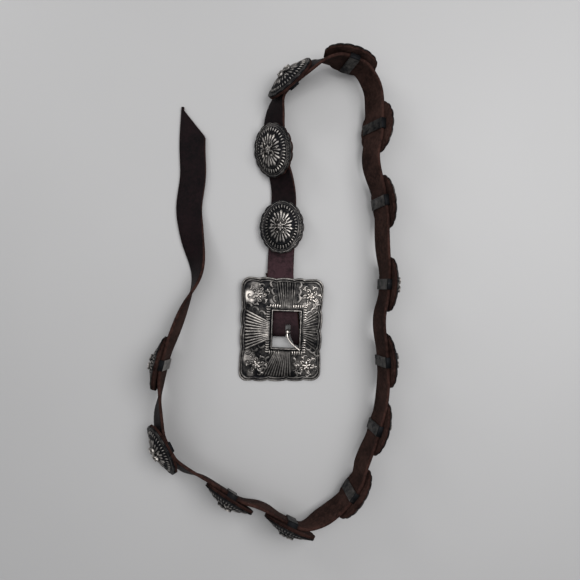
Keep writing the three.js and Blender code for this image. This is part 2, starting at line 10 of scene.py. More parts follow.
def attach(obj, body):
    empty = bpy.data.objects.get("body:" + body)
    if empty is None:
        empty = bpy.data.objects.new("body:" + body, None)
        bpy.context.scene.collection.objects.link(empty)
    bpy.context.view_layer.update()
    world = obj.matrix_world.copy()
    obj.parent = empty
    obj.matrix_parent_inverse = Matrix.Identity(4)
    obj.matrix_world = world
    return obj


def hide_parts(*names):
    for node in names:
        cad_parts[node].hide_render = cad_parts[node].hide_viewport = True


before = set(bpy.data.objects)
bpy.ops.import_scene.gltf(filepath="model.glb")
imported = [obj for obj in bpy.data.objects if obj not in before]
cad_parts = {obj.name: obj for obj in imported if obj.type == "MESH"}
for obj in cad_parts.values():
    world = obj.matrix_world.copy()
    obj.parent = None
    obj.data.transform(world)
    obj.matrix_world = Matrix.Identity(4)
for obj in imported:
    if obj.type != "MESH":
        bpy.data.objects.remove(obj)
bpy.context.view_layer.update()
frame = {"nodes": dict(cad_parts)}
toMetres = Matrix.Scale(0.001, 4)
print("frame loaded")


# Shared helpers

def smooth(low, high, value):
    share = np.clip((np.asarray(value, float) - low) / (high - low), 0.0, 1.0)
    return share * share * (3.0 - 2.0 * share)


def unit(vector):
    return vector / np.linalg.norm(vector)


def ringStack(rings, endless=False, caps=False):
    count = len(rings[0])
    faces = []
    for k in range(len(rings) if endless else len(rings) - 1):
        a = k * count
        b = ((k + 1) % len(rings)) * count
        for i in range(count):
            j = (i + 1) % count
            faces.append((a + i, a + j, b + j, b + i))
    if caps:
        last = (len(rings) - 1) * count
        faces.append(tuple(range(count - 1, -1, -1)))
        faces.append(tuple(range(last, last + count)))
    return np.concatenate([np.asarray(ring, float) for ring in rings]), faces


def setRelief(mesh, values):
    mesh.attributes.new("relief", "FLOAT", "POINT").data.foreach_set("value", np.asarray(values, np.float32))


def facedOutwards(mesh, weldReach=0.0):
    work = bmesh.new()
    work.from_mesh(mesh)
    if weldReach:
        bmesh.ops.remove_doubles(work, verts=work.verts, dist=weldReach)
    bmesh.ops.recalc_face_normals(work, faces=work.faces)
    work.to_mesh(mesh)
    work.free()
    return mesh


def meshOf(name, vertices, faces, relief=None, slots=None, weldReach=1e-4):
    mesh = bpy.data.meshes.new(name)
    mesh.from_pydata([tuple(v) for v in vertices], [], faces)
    if relief is not None:
        setRelief(mesh, relief if np.ndim(relief) else np.full(len(vertices), relief))
    if slots is not None:
        mesh.polygons.foreach_set("material_index", slots)
    return facedOutwards(mesh, weldReach) if weldReach else mesh


def joinedMesh(name, meshes):
    work = bmesh.new()
    for mesh in meshes:
        work.from_mesh(mesh)
    whole = bpy.data.meshes.new(name)
    work.to_mesh(whole)
    work.free()
    return whole


def linked(name, data):
    made = bpy.data.objects.new(name, data)
    bpy.context.scene.collection.objects.link(made)
    return made


# The mesh that an object shows with its modifiers.
def shownMesh(item):
    view = bpy.context.evaluated_depsgraph_get()
    view.update()
    shown = item.evaluated_get(view)
    return bpy.data.meshes.new_from_object(shown, preserve_all_data_layers=True, depsgraph=view)


def trianglesOf(mesh):
    return sum(len(polygon.vertices) - 2 for polygon in mesh.polygons)


def placed(name, mesh, body, finish, matrix, nodes, sharpAngle=35):
    piece = linked(name, mesh)
    mesh.transform(toMetres @ matrix)
    mesh.polygons.foreach_set("use_smooth", [True] * len(mesh.polygons))
    mesh.set_sharp_from_angle(angle=math.radians(sharpAngle))
    given = [min(polygon.material_index, len(finish) - 1) for polygon in mesh.polygons]
    mesh.materials.clear()  # this also sets every face to the first slot
    for material in finish:
        mesh.materials.append(material)
    mesh.polygons.foreach_set("material_index", given)
    mesh.update()
    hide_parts(*nodes)
    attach(piece, body)


# The way along a path at each point, and for a flat path the way to its left.
def waysAlong(path):
    along = np.gradient(path, axis=0)
    along /= np.linalg.norm(along, axis=1)[:, None]
    return along, np.stack([-along[:, 1], along[:, 0]], axis=1)


# A half-round raised form over a flat path, with its foot sunk under the surface that carries it.
def reliefForm(name, path, widths, heights, around=6, sink=0.5, lift=None, bright=1.0):
    path = np.asarray(path, float)
    lift = np.zeros(len(path)) if lift is None else lift
    angles = [math.pi * j / around for j in range(around + 1)]
    rings, relief = [], []
    for point, normal, width, height, raised in zip(path, waysAlong(path)[1], widths, heights, lift):
        section = [(math.cos(angle), raised + height * math.sin(angle)) for angle in angles]
        section += [(-1, raised - sink), (1, raised - sink)]
        rings.append([(*(point + normal * (width / 2 * across)), rise) for across, rise in section])
        full = bright * min(1.0, height / max(heights))
        relief += [full * math.sin(angle) for angle in angles] + [0.0, 0.0]
    return stampObject(name, meshOf(name, *ringStack(rings, caps=True), relief, weldReach=0.0))


def stampObject(name, mesh):
    facedOutwards(mesh)
    mesh.polygons.foreach_set("use_smooth", [True] * len(mesh.polygons))
    stamps.append(linked(name, mesh))
    return stamps[-1]


def ballStamp(name, radius):
    work = bmesh.new()
    bmesh.ops.create_icosphere(work, subdivisions=2, radius=radius)
    mesh = bpy.data.meshes.new(name)
    work.to_mesh(mesh)
    work.free()
    setRelief(mesh, [0.5 + 0.5 * max(0.0, v.co.z / radius) for v in mesh.vertices])
    return stampObject(name, mesh)


stamps = []


# Geometry node trees

class NodeMaker:
    def node(self, kind, inputs=None, **settings):
        made = self.tree.nodes.new(kind)
        for key, value in settings.items():
            setattr(made, key, value)
        for key, value in (inputs or {}).items():
            if isinstance(value, bpy.types.NodeSocket):
                self.tree.links.new(value, made.inputs[key])
            else:
                made.inputs[key].default_value = value
        return made

    def math(self, operation, a, b=0.0):
        return self.node("ShaderNodeMath", {0: a, 1: b}, operation=operation).outputs[0]

    def product(self, a, b):
        return self.math("MULTIPLY", a, b)

    def total(self, a, b):
        return self.math("ADD", a, b)


class TreeMaker(NodeMaker):
    def __init__(self, name, sockets):
        self.tree = bpy.data.node_groups.new(name, "GeometryNodeTree")
        for label, kind, value in [*sockets, ("Finish", "Material", None)]:
            socket = self.tree.interface.new_socket(label, in_out="INPUT", socket_type="NodeSocket" + kind)
            if value is not None:
                socket.default_value = value
        self.tree.interface.new_socket("Geometry", in_out="OUTPUT", socket_type="NodeSocketGeometry")
        self.start = self.tree.nodes.new("NodeGroupInput")
        self.end = self.tree.nodes.new("NodeGroupOutput")

    def given(self, label):
        return self.start.outputs[label]

    def shape(self, label):
        return self.node("GeometryNodeObjectInfo", {"Object": self.given(label)}).outputs["Geometry"]

    def index(self):
        return self.node("GeometryNodeInputIndex").outputs[0]

    def vector(self, operation, a, b=None):
        inputs = {0: a} if b is None else {0: a, 1: b}
        return self.node("ShaderNodeVectorMath", inputs, operation=operation)

    def fromParts(self, **parts):
        return self.node("ShaderNodeCombineXYZ", parts).outputs[0]

    def seeds(self):
        return self.node("GeometryNodeMeshLine", {"Count": self.given("Count")}).outputs["Mesh"]

    def moved(self, geometry, place):
        inputs = {"Geometry": geometry, "Position": place}
        return self.node("GeometryNodeSetPosition", inputs).outputs["Geometry"]

    def instances(self, points, shape, **more):
        inputs = {"Points": points, "Instance": shape, **more}
        return self.node("GeometryNodeInstanceOnPoints", inputs).outputs["Instances"]

    # Straight down onto the carrying surface, from well above it.
    def surfaceHit(self):
        position = self.node("GeometryNodeInputPosition").outputs[0]
        above = self.vector("ADD", position, (0.0, 0.0, 40.0)).outputs[0]
        return self.node("GeometryNodeRaycast", {
            "Target Geometry": self.shape("Surface"), "Source Position": above,
            "Ray Direction": (0.0, 0.0, -1.0), "Ray Length": 100.0})

    def finish(self, geometry):
        real = self.node("GeometryNodeRealizeInstances", {"Geometry": geometry})
        coloured = self.node("GeometryNodeSetMaterial", {
            "Geometry": real.outputs["Geometry"], "Material": self.given("Finish")})
        self.tree.links.new(coloured.outputs["Geometry"], self.end.inputs["Geometry"])
        return self.tree


# Stamps in a ring: every second one may be smaller, and each leans with the dome.
def ringTree():
    maker = TreeMaker("stampRing", [
        ("Stamp", "Object", None), ("Count", "Int", 12), ("Radius", "Float", 10.0), ("Height", "Float", 0.0),
        ("Lean", "Float", 0.0), ("Start", "Float", 0.0), ("Second", "Float", 1.0)])
    index = maker.index()
    angle = maker.product(index, maker.math("DIVIDE", 2 * math.pi, maker.given("Count")))
    less = maker.math("SUBTRACT", 1.0, maker.given("Second"))
    size = maker.math("SUBTRACT", 1.0, maker.product(maker.math("MODULO", index, 2.0), less))
    place = maker.fromParts(X=maker.product(maker.math("COSINE", angle), maker.given("Radius")),
                            Y=maker.product(maker.math("SINE", angle), maker.given("Radius")))
    spread = maker.instances(maker.moved(maker.seeds(), place), maker.shape("Stamp"), Scale=size,
                             Rotation=maker.fromParts(Y=maker.given("Lean"), Z=angle))
    turned = maker.node("GeometryNodeTransform", {
        "Geometry": spread, "Translation": maker.fromParts(Z=maker.given("Height")),
        "Rotation": maker.fromParts(Z=maker.given("Start"))})
    return maker.finish(turned.outputs["Geometry"])


# Stamps in a straight row, let down on a carrying surface and leaning with it.
def rowTree():
    maker = TreeMaker("stampRow", [
        ("Stamp", "Object", None), ("Surface", "Object", None), ("Count", "Int", 6), ("From", "Vector", None),
        ("To", "Vector", None), ("Turn", "Float", 0.0)])
    line = maker.node("GeometryNodeMeshLine", {
        "Count": maker.given("Count"), "Start Location": maker.given("From"), "Offset": maker.given("To")},
        mode="END_POINTS").outputs["Mesh"]
    hit = maker.surfaceHit()
    leaning = maker.node("FunctionNodeAlignRotationToVector", {
        "Rotation": maker.fromParts(Z=maker.given("Turn")), "Vector": hit.outputs["Hit Normal"]}, axis="Z")
    return maker.finish(maker.instances(maker.moved(line, hit.outputs["Hit Position"]), maker.shape("Stamp"),
                                        Rotation=leaning.outputs[0]))


# A fan of half-round flutes that follows the surface under it, from one line to another.
def fanTree():
    maker = TreeMaker("fluteFan", [
        ("Surface", "Object", None), ("Count", "Int", 10), ("From", "Vector", None),
        ("From end", "Vector", None), ("To", "Vector", None), ("To end", "Vector", None),
        ("Bulge", "Vector", None), ("Thin", "Float", 0.3), ("Thick", "Float", 0.8)])
    last = maker.math("SUBTRACT", maker.given("Count"), 1.0)
    share = maker.math("DIVIDE", maker.index(), last)

    def between(a, b):
        ends = {0: share, 4: maker.given(a), 5: maker.given(b)}
        return maker.node("ShaderNodeMix", ends, data_type="VECTOR").outputs[1]

    near = between("From", "From end")
    arch = maker.product(maker.product(share, maker.math("SUBTRACT", 1.0, share)), 4.0)
    bulge = maker.node("ShaderNodeVectorMath", {0: maker.given("Bulge"), "Scale": arch}, operation="SCALE")
    far = maker.vector("ADD", between("To", "To end"), bulge.outputs[0]).outputs[0]
    way = maker.vector("SUBTRACT", far, near).outputs[0]
    size = maker.fromParts(X=maker.vector("LENGTH", way).outputs["Value"], Y=1.0, Z=1.0)
    aim = maker.node("FunctionNodeAlignRotationToVector", {"Vector": way}, axis="X").outputs[0]
    stroke = maker.node("GeometryNodeCurvePrimitiveLine", {"End": (1.0, 0.0, 0.0)}).outputs["Curve"]
    fine = maker.node("GeometryNodeResampleCurve", {"Curve": stroke, "Count": 14}).outputs["Curve"]
    spread = maker.instances(maker.moved(maker.seeds(), near), fine, Rotation=aim, Scale=size)
    lines = maker.node("GeometryNodeRealizeInstances", {"Geometry": spread}).outputs["Geometry"]
    dropped = maker.moved(lines, maker.surfaceHit().outputs["Hit Position"])
    along = maker.node("GeometryNodeSplineParameter").outputs["Factor"]
    swell = maker.node("ShaderNodeMapRange", {
        "Value": along, "To Min": maker.given("Thin"), "To Max": maker.given("Thick")}).outputs[0]
    tail = maker.node("ShaderNodeMapRange", {"Value": along, "From Min": 0.93, "To Min": 1.0, "To Max": 0.45})
    radius = maker.product(swell, tail.outputs[0])
    sized = maker.node("GeometryNodeSetCurveRadius", {"Curve": dropped, "Radius": radius}).outputs["Curve"]
    profile = maker.node("GeometryNodeCurvePrimitiveCircle", {"Resolution": 10, "Radius": 1.0})
    body = maker.node("GeometryNodeCurveToMesh", {
        "Curve": sized, "Profile Curve": profile.outputs["Curve"], "Fill Caps": True})
    return maker.finish(body.outputs["Mesh"])


# What a tree makes from the given values, as a plain mesh. The tone is its darkest relief and what is added
# to that on top.
def grown(tree, tone=(0.5, 0.5), **values):
    holder = linked("grown", bpy.data.meshes.new("grown"))
    modifier = holder.modifiers.new("nodes", "NODES")
    modifier.node_group = tree
    for item in tree.interface.items_tree:
        key = item.name.lower().replace(" ", "")
        if item.item_type == "SOCKET" and item.in_out == "INPUT" and key in values:
            modifier[item.identifier] = values[key]
    mesh = shownMesh(holder)
    bpy.data.objects.remove(holder)
    if "relief" not in mesh.attributes:
        setRelief(mesh, [tone[0] + tone[1] * max(0.0, v.normal.z) ** 2.5 for v in mesh.vertices])
    return mesh


# Materials

class Finish(NodeMaker):
    def __init__(self, name, **settings):
        self.material = bpy.data.materials.new(name)
        self.material.use_nodes = True
        self.tree = self.material.node_tree
        self.shader = self.tree.nodes["Principled BSDF"]
        for key, value in settings.items():
            self.shader.inputs[key.replace("_", " ")].default_value = value
        self.place = self.node("ShaderNodeTexCoord").outputs["Object"]

    def noise(self, scale, detail=3.0, roughness=0.55):
        return self.node("ShaderNodeTexNoise", {
            "Vector": self.place, "Scale": scale, "Detail": detail, "Roughness": roughness}).outputs["Fac"]

    def ramp(self, value, stops):
        made = self.node("ShaderNodeValToRGB", {"Fac": value})
        elements = made.color_ramp.elements
        while len(elements) < len(stops):
            elements.new(0.5)
        for element, (position, colour) in zip(elements, stops):
            element.position, element.color = position, (*colour, 1)
        return made.outputs["Color"]

    def spread(self, value, low, high, toLow, toHigh):
        return self.node("ShaderNodeMapRange", {
            "Value": value, "From Min": low, "From Max": high, "To Min": toLow, "To Max": toHigh}).outputs[0]

    def bump(self, height, distance, strength):
        inputs = {"Height": height, "Distance": distance, "Strength": strength}
        return self.node("ShaderNodeBump", inputs).outputs["Normal"]

    def connect(self, colour, roughness, normal=None):
        for key, value in (("Base Color", colour), ("Roughness", roughness), ("Normal", normal)):
            if value is not None:
                self.tree.links.new(value, self.shader.inputs[key])
        return self.material


finishValues = {
    "silverBright": (0.66, 0.61, 0.56),
    "silverWarm": (0.265, 0.248, 0.234),
    "silverDark": (0.012, 0.0124, 0.0138),
    "grainDark": (0.0027, 0.002, 0.0024),
    "grainRed": (0.0092, 0.0048, 0.0057),
    # colour of the painted sheen: the grain near the buckle is painted lighter and redder, as where light
    # glances off it
    "grainWorn": (0.039, 0.0195, 0.0235),
    "fleshDark": (0.014, 0.0072, 0.0058),
    "fleshLight": (0.046, 0.024, 0.0195),
    "cutEdge": (0.046, 0.0215, 0.0172),
    "cutEdgeDark": (0.013, 0.0062, 0.0052),
    "table": (0.404, 0.401, 0.402),
    "leatherGloss": 0.05,
    "dullRoughness": 0.62,
    "rubbedRoughness": 0.27,
    # sizes of the patterns, in repeats for each metre
    "silverCloud": 45.0,
    "silverWear": 260.0,
    "silverScratch": 2400.0,
    "leatherCloud": 60.0,
    "leatherMottle": 420.0,
}


def scaled(colour, factor):
    return tuple(factor * part for part in colour)


# Old silver: bright on the raised parts, nearly black in the recesses, with fine scratches.
def silverFinish(name, shine, reach):
    made = Finish(name, Metallic=1.0)
    worn = made.noise(finishValues["silverWear"], 5.0, 0.65)
    cloud = made.noise(finishValues["silverCloud"], 3.0, 0.5)
    relief = made.node("ShaderNodeAttribute", attribute_name="relief").outputs["Fac"]
    level = made.total(relief, made.spread(worn, 0.3, 0.7, -0.22, 0.22))
    level = made.total(level, made.spread(cloud, 0.3, 0.7, -0.18, 0.18))
    level = made.spread(level, reach[0], reach[1], 0.0, 1.0)
    colour = made.ramp(level, [
        (0.0, finishValues["silverDark"]), (0.35, scaled(finishValues["silverWarm"], 0.35)),
        (0.7, finishValues["silverWarm"]), (1.0, scaled(finishValues["silverBright"], shine))])
    rough = made.spread(level, 0.0, 1.0, finishValues["dullRoughness"], finishValues["rubbedRoughness"])
    rough = made.total(rough, made.spread(worn, 0.3, 0.7, -0.06, 0.08))
    fine = made.noise(finishValues["silverScratch"], 2.0, 0.6)
    return made.connect(colour, rough, made.bump(made.total(made.product(fine, 0.3), worn), 0.00012, 0.5))


# Leather: fine cells and soft clouds. A painted sheen, where given, is a middle in metres, a reach and a
# colour: there the leather is painted lighter and redder, as where light glances off it.
def leatherFinish(name, tones, grainScale, depth, rough, worn=None):
    made = Finish(name, Specular_IOR_Level=finishValues["leatherGloss"])
    cells = made.node("ShaderNodeTexVoronoi", {"Vector": made.place, "Scale": grainScale},
                      feature="DISTANCE_TO_EDGE").outputs["Distance"]
    tooth = made.noise(grainScale * 1.7, 4.0, 0.7)
    mixed = made.total(made.product(made.noise(finishValues["leatherCloud"], 4.0, 0.6), 0.45),
                       made.product(tooth, 0.2))
    mixed = made.total(mixed, made.product(made.noise(finishValues["leatherMottle"], 3.0, 0.6), 0.4))
    dark, light = (finishValues[tone] for tone in tones)
    colour = made.ramp(mixed, [(0.43, dark), (0.62, light)])
    # A painted sheen: the colour is mixed towards a lighter, redder tone round the given middle.
    if worn is not None:
        middle, reach, tone = worn
        away = made.node("ShaderNodeVectorMath", {0: made.place, 1: middle}, operation="DISTANCE")
        near = made.spread(away.outputs["Value"], reach * 0.45, reach, 1.0, 0.0)
        share = made.product(near, made.spread(mixed, 0.44, 0.6, 0.3, 1.1))
        colour = made.node("ShaderNodeMix", {0: share, 6: colour, 7: (*tone, 1)}, data_type="RGBA").outputs[2]
    height = made.total(made.spread(cells, 0.0, 0.2, 0.0, 0.6), made.product(tooth, 0.6))
    return made.connect(colour, made.spread(mixed, 0.3, 0.8, rough - 0.08, rough + 0.1),
                        made.bump(height, depth, 0.8))


silverConcho = silverFinish("silver_concho", 0.8, (0.16, 1.08))
silverBuckle = silverFinish("silver_buckle", 1.05, (0.08, 0.98))
silverPlain = silverFinish("silver_plain", 1.1, (-0.3, 0.6))
# The grain near the buckle is painted lighter and redder, a painted sheen of light glancing off the leather.
sheenByBuckle = ((0.008, 0.012, 0.004), 0.05, finishValues["grainWorn"])
leatherSet = [leatherFinish("leather_grain", ("grainDark", "grainRed"), 900.0, 0.00016, 0.55, sheenByBuckle),
              leatherFinish("leather_flesh", ("fleshDark", "fleshLight"), 1300.0, 0.0003, 0.85),
              leatherFinish("leather_edge", ("cutEdgeDark", "cutEdge"), 1500.0, 0.0002, 0.75)]
print("materials made")


# Strap: a strip of leather along the route of its middle line

strapValues = {
    "width": 22.0,
    "thickness": 2.4,
    "samplesPerRow": 12,
    "pointsAcross": 9,
    "edgeRounding": 0.35,
    "tipCutLength": 24.5,
    "tipBluntShare": 0.1,
    "foldReturn": 49.0,
    "foldSideShare": 0.38,
    "foldSkew": 6.6,
    "foldSteps": 14,
    "arcSteps": 16,
    "gap": 0.3,
    "tangentReach": 0.06,
    "slotDepth": (-3, 20),
    # how the strap is held flat near a loop, as shares of the loop's length from the concho's middle
    "heldUpTo": 0.75,
    "freeFrom": 2.1,
    # past the backing it may bend outwards again, from this share of the reach and by this slope
    "seatReach": 14.0,
    "bendFrom": 0.65,
    "bendSlope": 0.45,
    "evenRounds": 6,
    "evenShare": 0.25,
}

# Columns: place, x, y and z of the middle line in millimetres, the roll of the outer face from upwards and
# the turn about the upright in degrees.
route = [
    ("bar", 11.30, -31.58, 6.85, 0, 0),
    ("under", 9.24, -8.02, 4.10, 0, 0),
    ("edge", 6.52, 15.70, 4.10, 2, 0),
    ("c01", 8.17, 56.55, 4.39, 8, 0),
    ("m01", 8.88, 88.79, 6.88, 30, 0),
    ("c02", 2.48, 119.64, 9.36, 34, 0),
    ("m02", 2.05, 150.10, 12.72, 48.3, 0),
    ("c03", 16.26, 174.28, 16.09, 59, -11),
    ("m03", 35.11, 186.10, 27.89, 66, 0),
    ("c04", 62.89, 186.73, 21.22, 96.9, 5),
    ("m04", 82.26, 170.06, 15.01, 114.7, 0),
    ("c05", 83.13, 136.14, 18.49, 121, 0),
    ("m05", 80.16, 109.34, 18.93, 116.9, 0),
    ("c06", 87.89, 74.69, 19.37, 107.1, 0),
    ("m06", 89.55, 41.31, 19.36, 108, 0),
    ("c07", 91.61, 8.48, 19.35, 99.5, 0),
    ("m07", 86.88, -20.98, 19.37, 103.4, 0),
    ("c08", 90.15, -53.81, 19.39, 101.8, 0),
    ("m08", 89.55, -81.95, 19.39, 103.5, 0),
    ("c09", 83.78, -107.49, 19.38, 101, 0),
    ("m09", 73.31, -135.08, 19.39, 107, 0),
    ("c10", 63.70, -159.10, 19.40, 103.2, 0),
    ("m10", 40.44, -180.87, 18.66, 106, 0),
    ("c11", 15.68, -185.26, 17.92, 76, -15),
    ("m11", -5.48, -173.23, 17.69, 80, 0),
    ("c12", -33.09, -163.23, 17.46, 72, -8),
    ("m12", -69.73, -144.28, 16.13, 58.3, 0),
    ("c13", -87.66, -125.55, 14.79, 56, 0),
    ("m13", -92.92, -96.64, 16.84, 62, 0),
    ("c14", -87.55, -56.55, 18.89, 91, 0),
    ("m14", -74.24, -14.77, 12.01, 94.7, 0),
    ("t1", -62.09, 17.72, 10.06, 58.6, 0),
    ("t2", -67.61, 49.37, 4.94, 20, 0),
    ("t3", -70.75, 73.43, 2.09, 4.4, 0),
    ("t4", -67.31, 100.01, 2.07, 4.3, 0),
    ("t5", -67.97, 127.44, 1.82, 3, 0),
    ("t6", -66.22, 158.04, 1.63, 2, 0),
]

conchoValues = {
    "length": 44.6,
    "width": 37.6,
    "scallops": 16,
    "scallopDepth": 0.8,
    "scallopFrom": 0.86,
    "notchShade": 0.25,
    "hollowBright": 0.25,
    "thickness": 1.0,
    "footShare": 0.83,
    "dome": 5.4,
    "backing": 1.8,
    "backingChamfer": 0.3,
    "backingChamferDepth": 0.25,
    "layerLine": 0.26,
    "layerLineDepth": 0.75,
    "loopLength": 8.5,
    "loopThickness": 0.9,
    "loopClearance": 0.4,
    "loopFootShare": 0.66,
    "loopFootSink": 0.7,
    "loopBend": 1.0,
    "loopRounding": 0.25,
    "commas": 38,
    "flutes": 22,
    "rimStamps": 48,
    "drawnOut": 0.065,
    # how light the loops are made: the loop of concho 14 lighter than the others
    "loopDull": 0.34,
    "loopRubbed": 0.66,
    "rubbedLoops": (14,),
}

buckleValues = {
    "width": 69.0,
    "length": 88.0,
    "turn": -2.3,
    "dome": 5.5,
    "plate": 1.5,
    "cornerRadius": 7.5,
    "lobeDepth": 1.3,
    "rimWidth": 4.2,
    "fieldBright": 0.16,
    "fieldRings": 24,
    "underBright": 0.3,
    "openingWidth": 22.2,
    "openingLength": 30.4,
    "openingShift": 4.3,
    "openingRise": 0.9,
    "lowerEdgeSkew": 0.045,
    "frameWidth": 2.2,
    "barRadius": 1.3,
    "barHalfLength": 15.6,
    "barBelowMiddle": 1.7,
    "barHeight": 4.048,
    "place": (5.313, -73.507, 0.048),
    "tilt": 0.0648181,
}

halfStrap = strapValues["width"] / 2
seatOffset = strapValues["thickness"] / 2 + 2 * strapValues["gap"] + conchoValues["backing"]
lastRow = len(route) - 1
routeTable = np.array([row[1:] for row in route], float)
buckleMatrix = (Matrix.Translation(Vector(buckleValues["place"]))
                @ Matrix.Rotation(math.radians(buckleValues["turn"]), 4, "Z")
                @ Matrix.Rotation(buckleValues["tilt"], 4, "X"))
barTurn = math.radians(buckleValues["turn"])
barRight = np.array([math.cos(barTurn), math.sin(barTurn), 0.0])
barOnward = np.array([-barRight[1], barRight[0], 0.0])
barMiddle = np.array([route[0][1], route[0][2], buckleValues["barHeight"]])
foldRadius = buckleValues["barRadius"] + strapValues["gap"] + strapValues["thickness"] / 2


# Between b and c at the share f, smooth at both ends.
def catmull(a, b, c, d, f):
    return 0.5 * (2 * b + (c - a) * f + (2 * a - 5 * b + 4 * c - d) * f * f
                  + (3 * b - a - 3 * c + d) * f ** 3)


def blended(column, t):
    values = routeTable[:, column]
    i = min(int(math.floor(t)), lastRow - 1)
    f = t - i
    before = values[i - 1] if i > 0 else 2 * values[0] - values[1]
    after = values[i + 2] if i + 2 <= lastRow else 2 * values[-1] - values[-2]
    return catmull(before, values[i], values[i + 1], after, f)


def middleAt(t):
    return np.array([blended(column, t) for column in range(3)])


# Tangent, across from the upper to the lower edge, and outward.
def frameAt(t):
    step = strapValues["tangentReach"]
    tangent = unit(middleAt(min(lastRow, t + step)) - middleAt(max(0.0, t - step)))
    side = unit(np.array([-tangent[1], tangent[0], 0.0]))
    lift = np.cross(tangent, side)
    roll = math.radians(blended(3, t))
    across = side * math.cos(roll) - lift * math.sin(roll)
    if t < 1:
        share = (1 - t) ** 2
        across = unit(across * (1 - share) - barRight * share)
    turn = np.array(Matrix.Rotation(math.radians(blended(4, t)), 3, "Z"))
    return turn @ tangent, turn @ across, turn @ unit(np.cross(tangent, across))


def matrixOf(xAxis, yAxis, zAxis, place):
    matrix = Matrix.Identity(4)
    for column, axis in enumerate((xAxis, yAxis, zAxis, place)):
        for line in range(3):
            matrix[line][column] = float(axis[line])
    return matrix


conchoRows = [i for i, row in enumerate(route) if row[0].startswith("c")]
seats = [(middleAt(i), *frameAt(i)) for i in conchoRows]
conchoMatrices = [matrixOf(tangent, across, outward, middle + outward * seatOffset)
                  for middle, tangent, across, outward in seats]


# Near a loop the strap lies flat behind its concho, and further out it only stays behind the backing. The
# seats are gone through twice, because one seat can move a point that belongs to another.
def pressedToSeat(point, sideSign):
    reach, loop = strapValues["seatReach"], conchoValues["loopLength"]
    halfLong, halfWide = conchoValues["length"] / 2, conchoValues["width"] / 2
    for middle, tangent, across, outward in seats + seats:
        away = point - middle
        u, v, w = abs(away @ tangent), away @ across, away @ outward
        if u > halfLong + reach or abs(v) > halfWide or abs(w) > halfStrap:
            continue
        hold = 1 - float(smooth(loop * strapValues["heldUpTo"], loop * strapValues["freeFrom"], u))
        free = max(0.0, u - halfLong - strapValues["bendFrom"] * reach) * strapValues["bendSlope"]
        point = point + outward * (free - w if w > free else -w * hold)
        point = point + across * ((sideSign * halfStrap - v) * hold)
    return point


# One section: points over the grain side, round the edge, back over the flesh side, and round the other edge.
def strapSection(upper, lower, tangent):
    across = unit(lower - upper)
    outward = unit(np.cross(tangent, across)) * (strapValues["thickness"] / 2)
    width = np.linalg.norm(lower - upper)
    rounding = min(0.45, strapValues["edgeRounding"] / max(width, 0.1))
    shares = np.linspace(0, 1, strapValues["pointsAcross"])
    shares[0], shares[-1] = rounding, 1 - rounding
    lines = [upper + (lower - upper) * share for share in shares]
    edge = strapValues["edgeRounding"] / (strapValues["thickness"] / 2)
    section = [line + outward for line in lines]
    section += [lower + outward * (1 - edge), lower - outward * (1 - edge)]
    section += [line - outward for line in reversed(lines)]
    section += [upper - outward * (1 - edge), upper + outward * (1 - edge)]
    return np.array(section)


def foldSections():
    sections = []
    span = barRight * halfStrap
    for i in range(strapValues["foldSteps"], 0, -1):
        share = i / strapValues["foldSteps"]
        aside = strapValues["foldSideShare"] * strapValues["width"] * share * share
        middle = barMiddle + barOnward * (strapValues["foldReturn"] * share) - barRight * aside
        middle[2] = strapValues["thickness"] / 2
        sections.append(strapSection(middle + span, middle - span, -barOnward))
    for angle in -math.pi / 2 + np.arange(strapValues["arcSteps"]) * math.pi / strapValues["arcSteps"]:
        up, back = math.sin(angle), math.cos(angle)
        middle = barMiddle - barOnward * (foldRadius * back) + np.array([0, 0, foldRadius * up])
        section = strapSection(middle + span, middle - span, barOnward * up + np.array([0, 0, back]))
        rightShare = smooth(-0.1, 0.75, ((section - barMiddle) @ barRight) / halfStrap)
        sections.append(section - barOnward * (strapValues["foldSkew"] * back * rightShare)[:, None])
    return sections


def routeSections():
    times = [i / strapValues["samplesPerRow"] for i in range(lastRow * strapValues["samplesPerRow"] + 1)]
    frames = [frameAt(t) for t in times]
    middles = [middleAt(t) for t in times]
    upper, lower = (np.array([pressedToSeat(middle + frame[1] * (sign * halfStrap), sign)
                              for middle, frame in zip(middles, frames)]) for sign in (-1, 1))
    for _ in range(strapValues["evenRounds"]):  # evens out the bends beside the seats
        for line in (upper, lower):
            line[3:-1] += strapValues["evenShare"] * (line[2:-2] + line[4:] - 2 * line[3:-1])
    sections = []
    for t, middle, frame, high, low in zip(times, middles, frames, upper, lower):
        fromTip = float(np.linalg.norm(middles[-1] - middle)) / strapValues["tipCutLength"]
        if t > lastRow - 3 and fromTip < 1:
            high = high + (low - high) * (1 - max(strapValues["tipBluntShare"], fromTip))
        section = strapSection(high, low, frame[0])
        section[:, 2] -= min(0.0, section[:, 2].min())  # keeps it out of the table
        sections.append(section)
    return sections


# The slot for the prong, to the right of the bar's middle and onwards from it, as shares of the strap's
# width.
slotOutline = [(-0.023, 0.295), (0.164, 0.295), (0.164, 0), (0.182, -0.182), (0.282, -0.364),
               (0.345, -0.545), (0.345, -0.818), (-0.023, -0.818)]


def prismMesh(name, outline, low, high):
    outline = np.asarray(outline, float)
    rings = [np.column_stack([outline, np.full(len(outline), z)]) for z in (low, high)]
    return meshOf(name, *ringStack(rings, caps=True))


def withoutSolid(mesh, cutter):
    cutter.polygons.foreach_set("material_index", [2] * len(cutter.polygons))
    for part in (mesh, cutter):
        for material in leatherSet[len(part.materials):]:
            part.materials.append(material)
    keep, cut = linked("keep", mesh), linked("cut", cutter)
    modifier = keep.modifiers.new("cut", "BOOLEAN")
    modifier.object = cut
    modifier.operation = "DIFFERENCE"
    modifier.solver = "EXACT"
    result = shownMesh(keep)
    bpy.data.objects.remove(keep)
    bpy.data.objects.remove(cut)
    return result


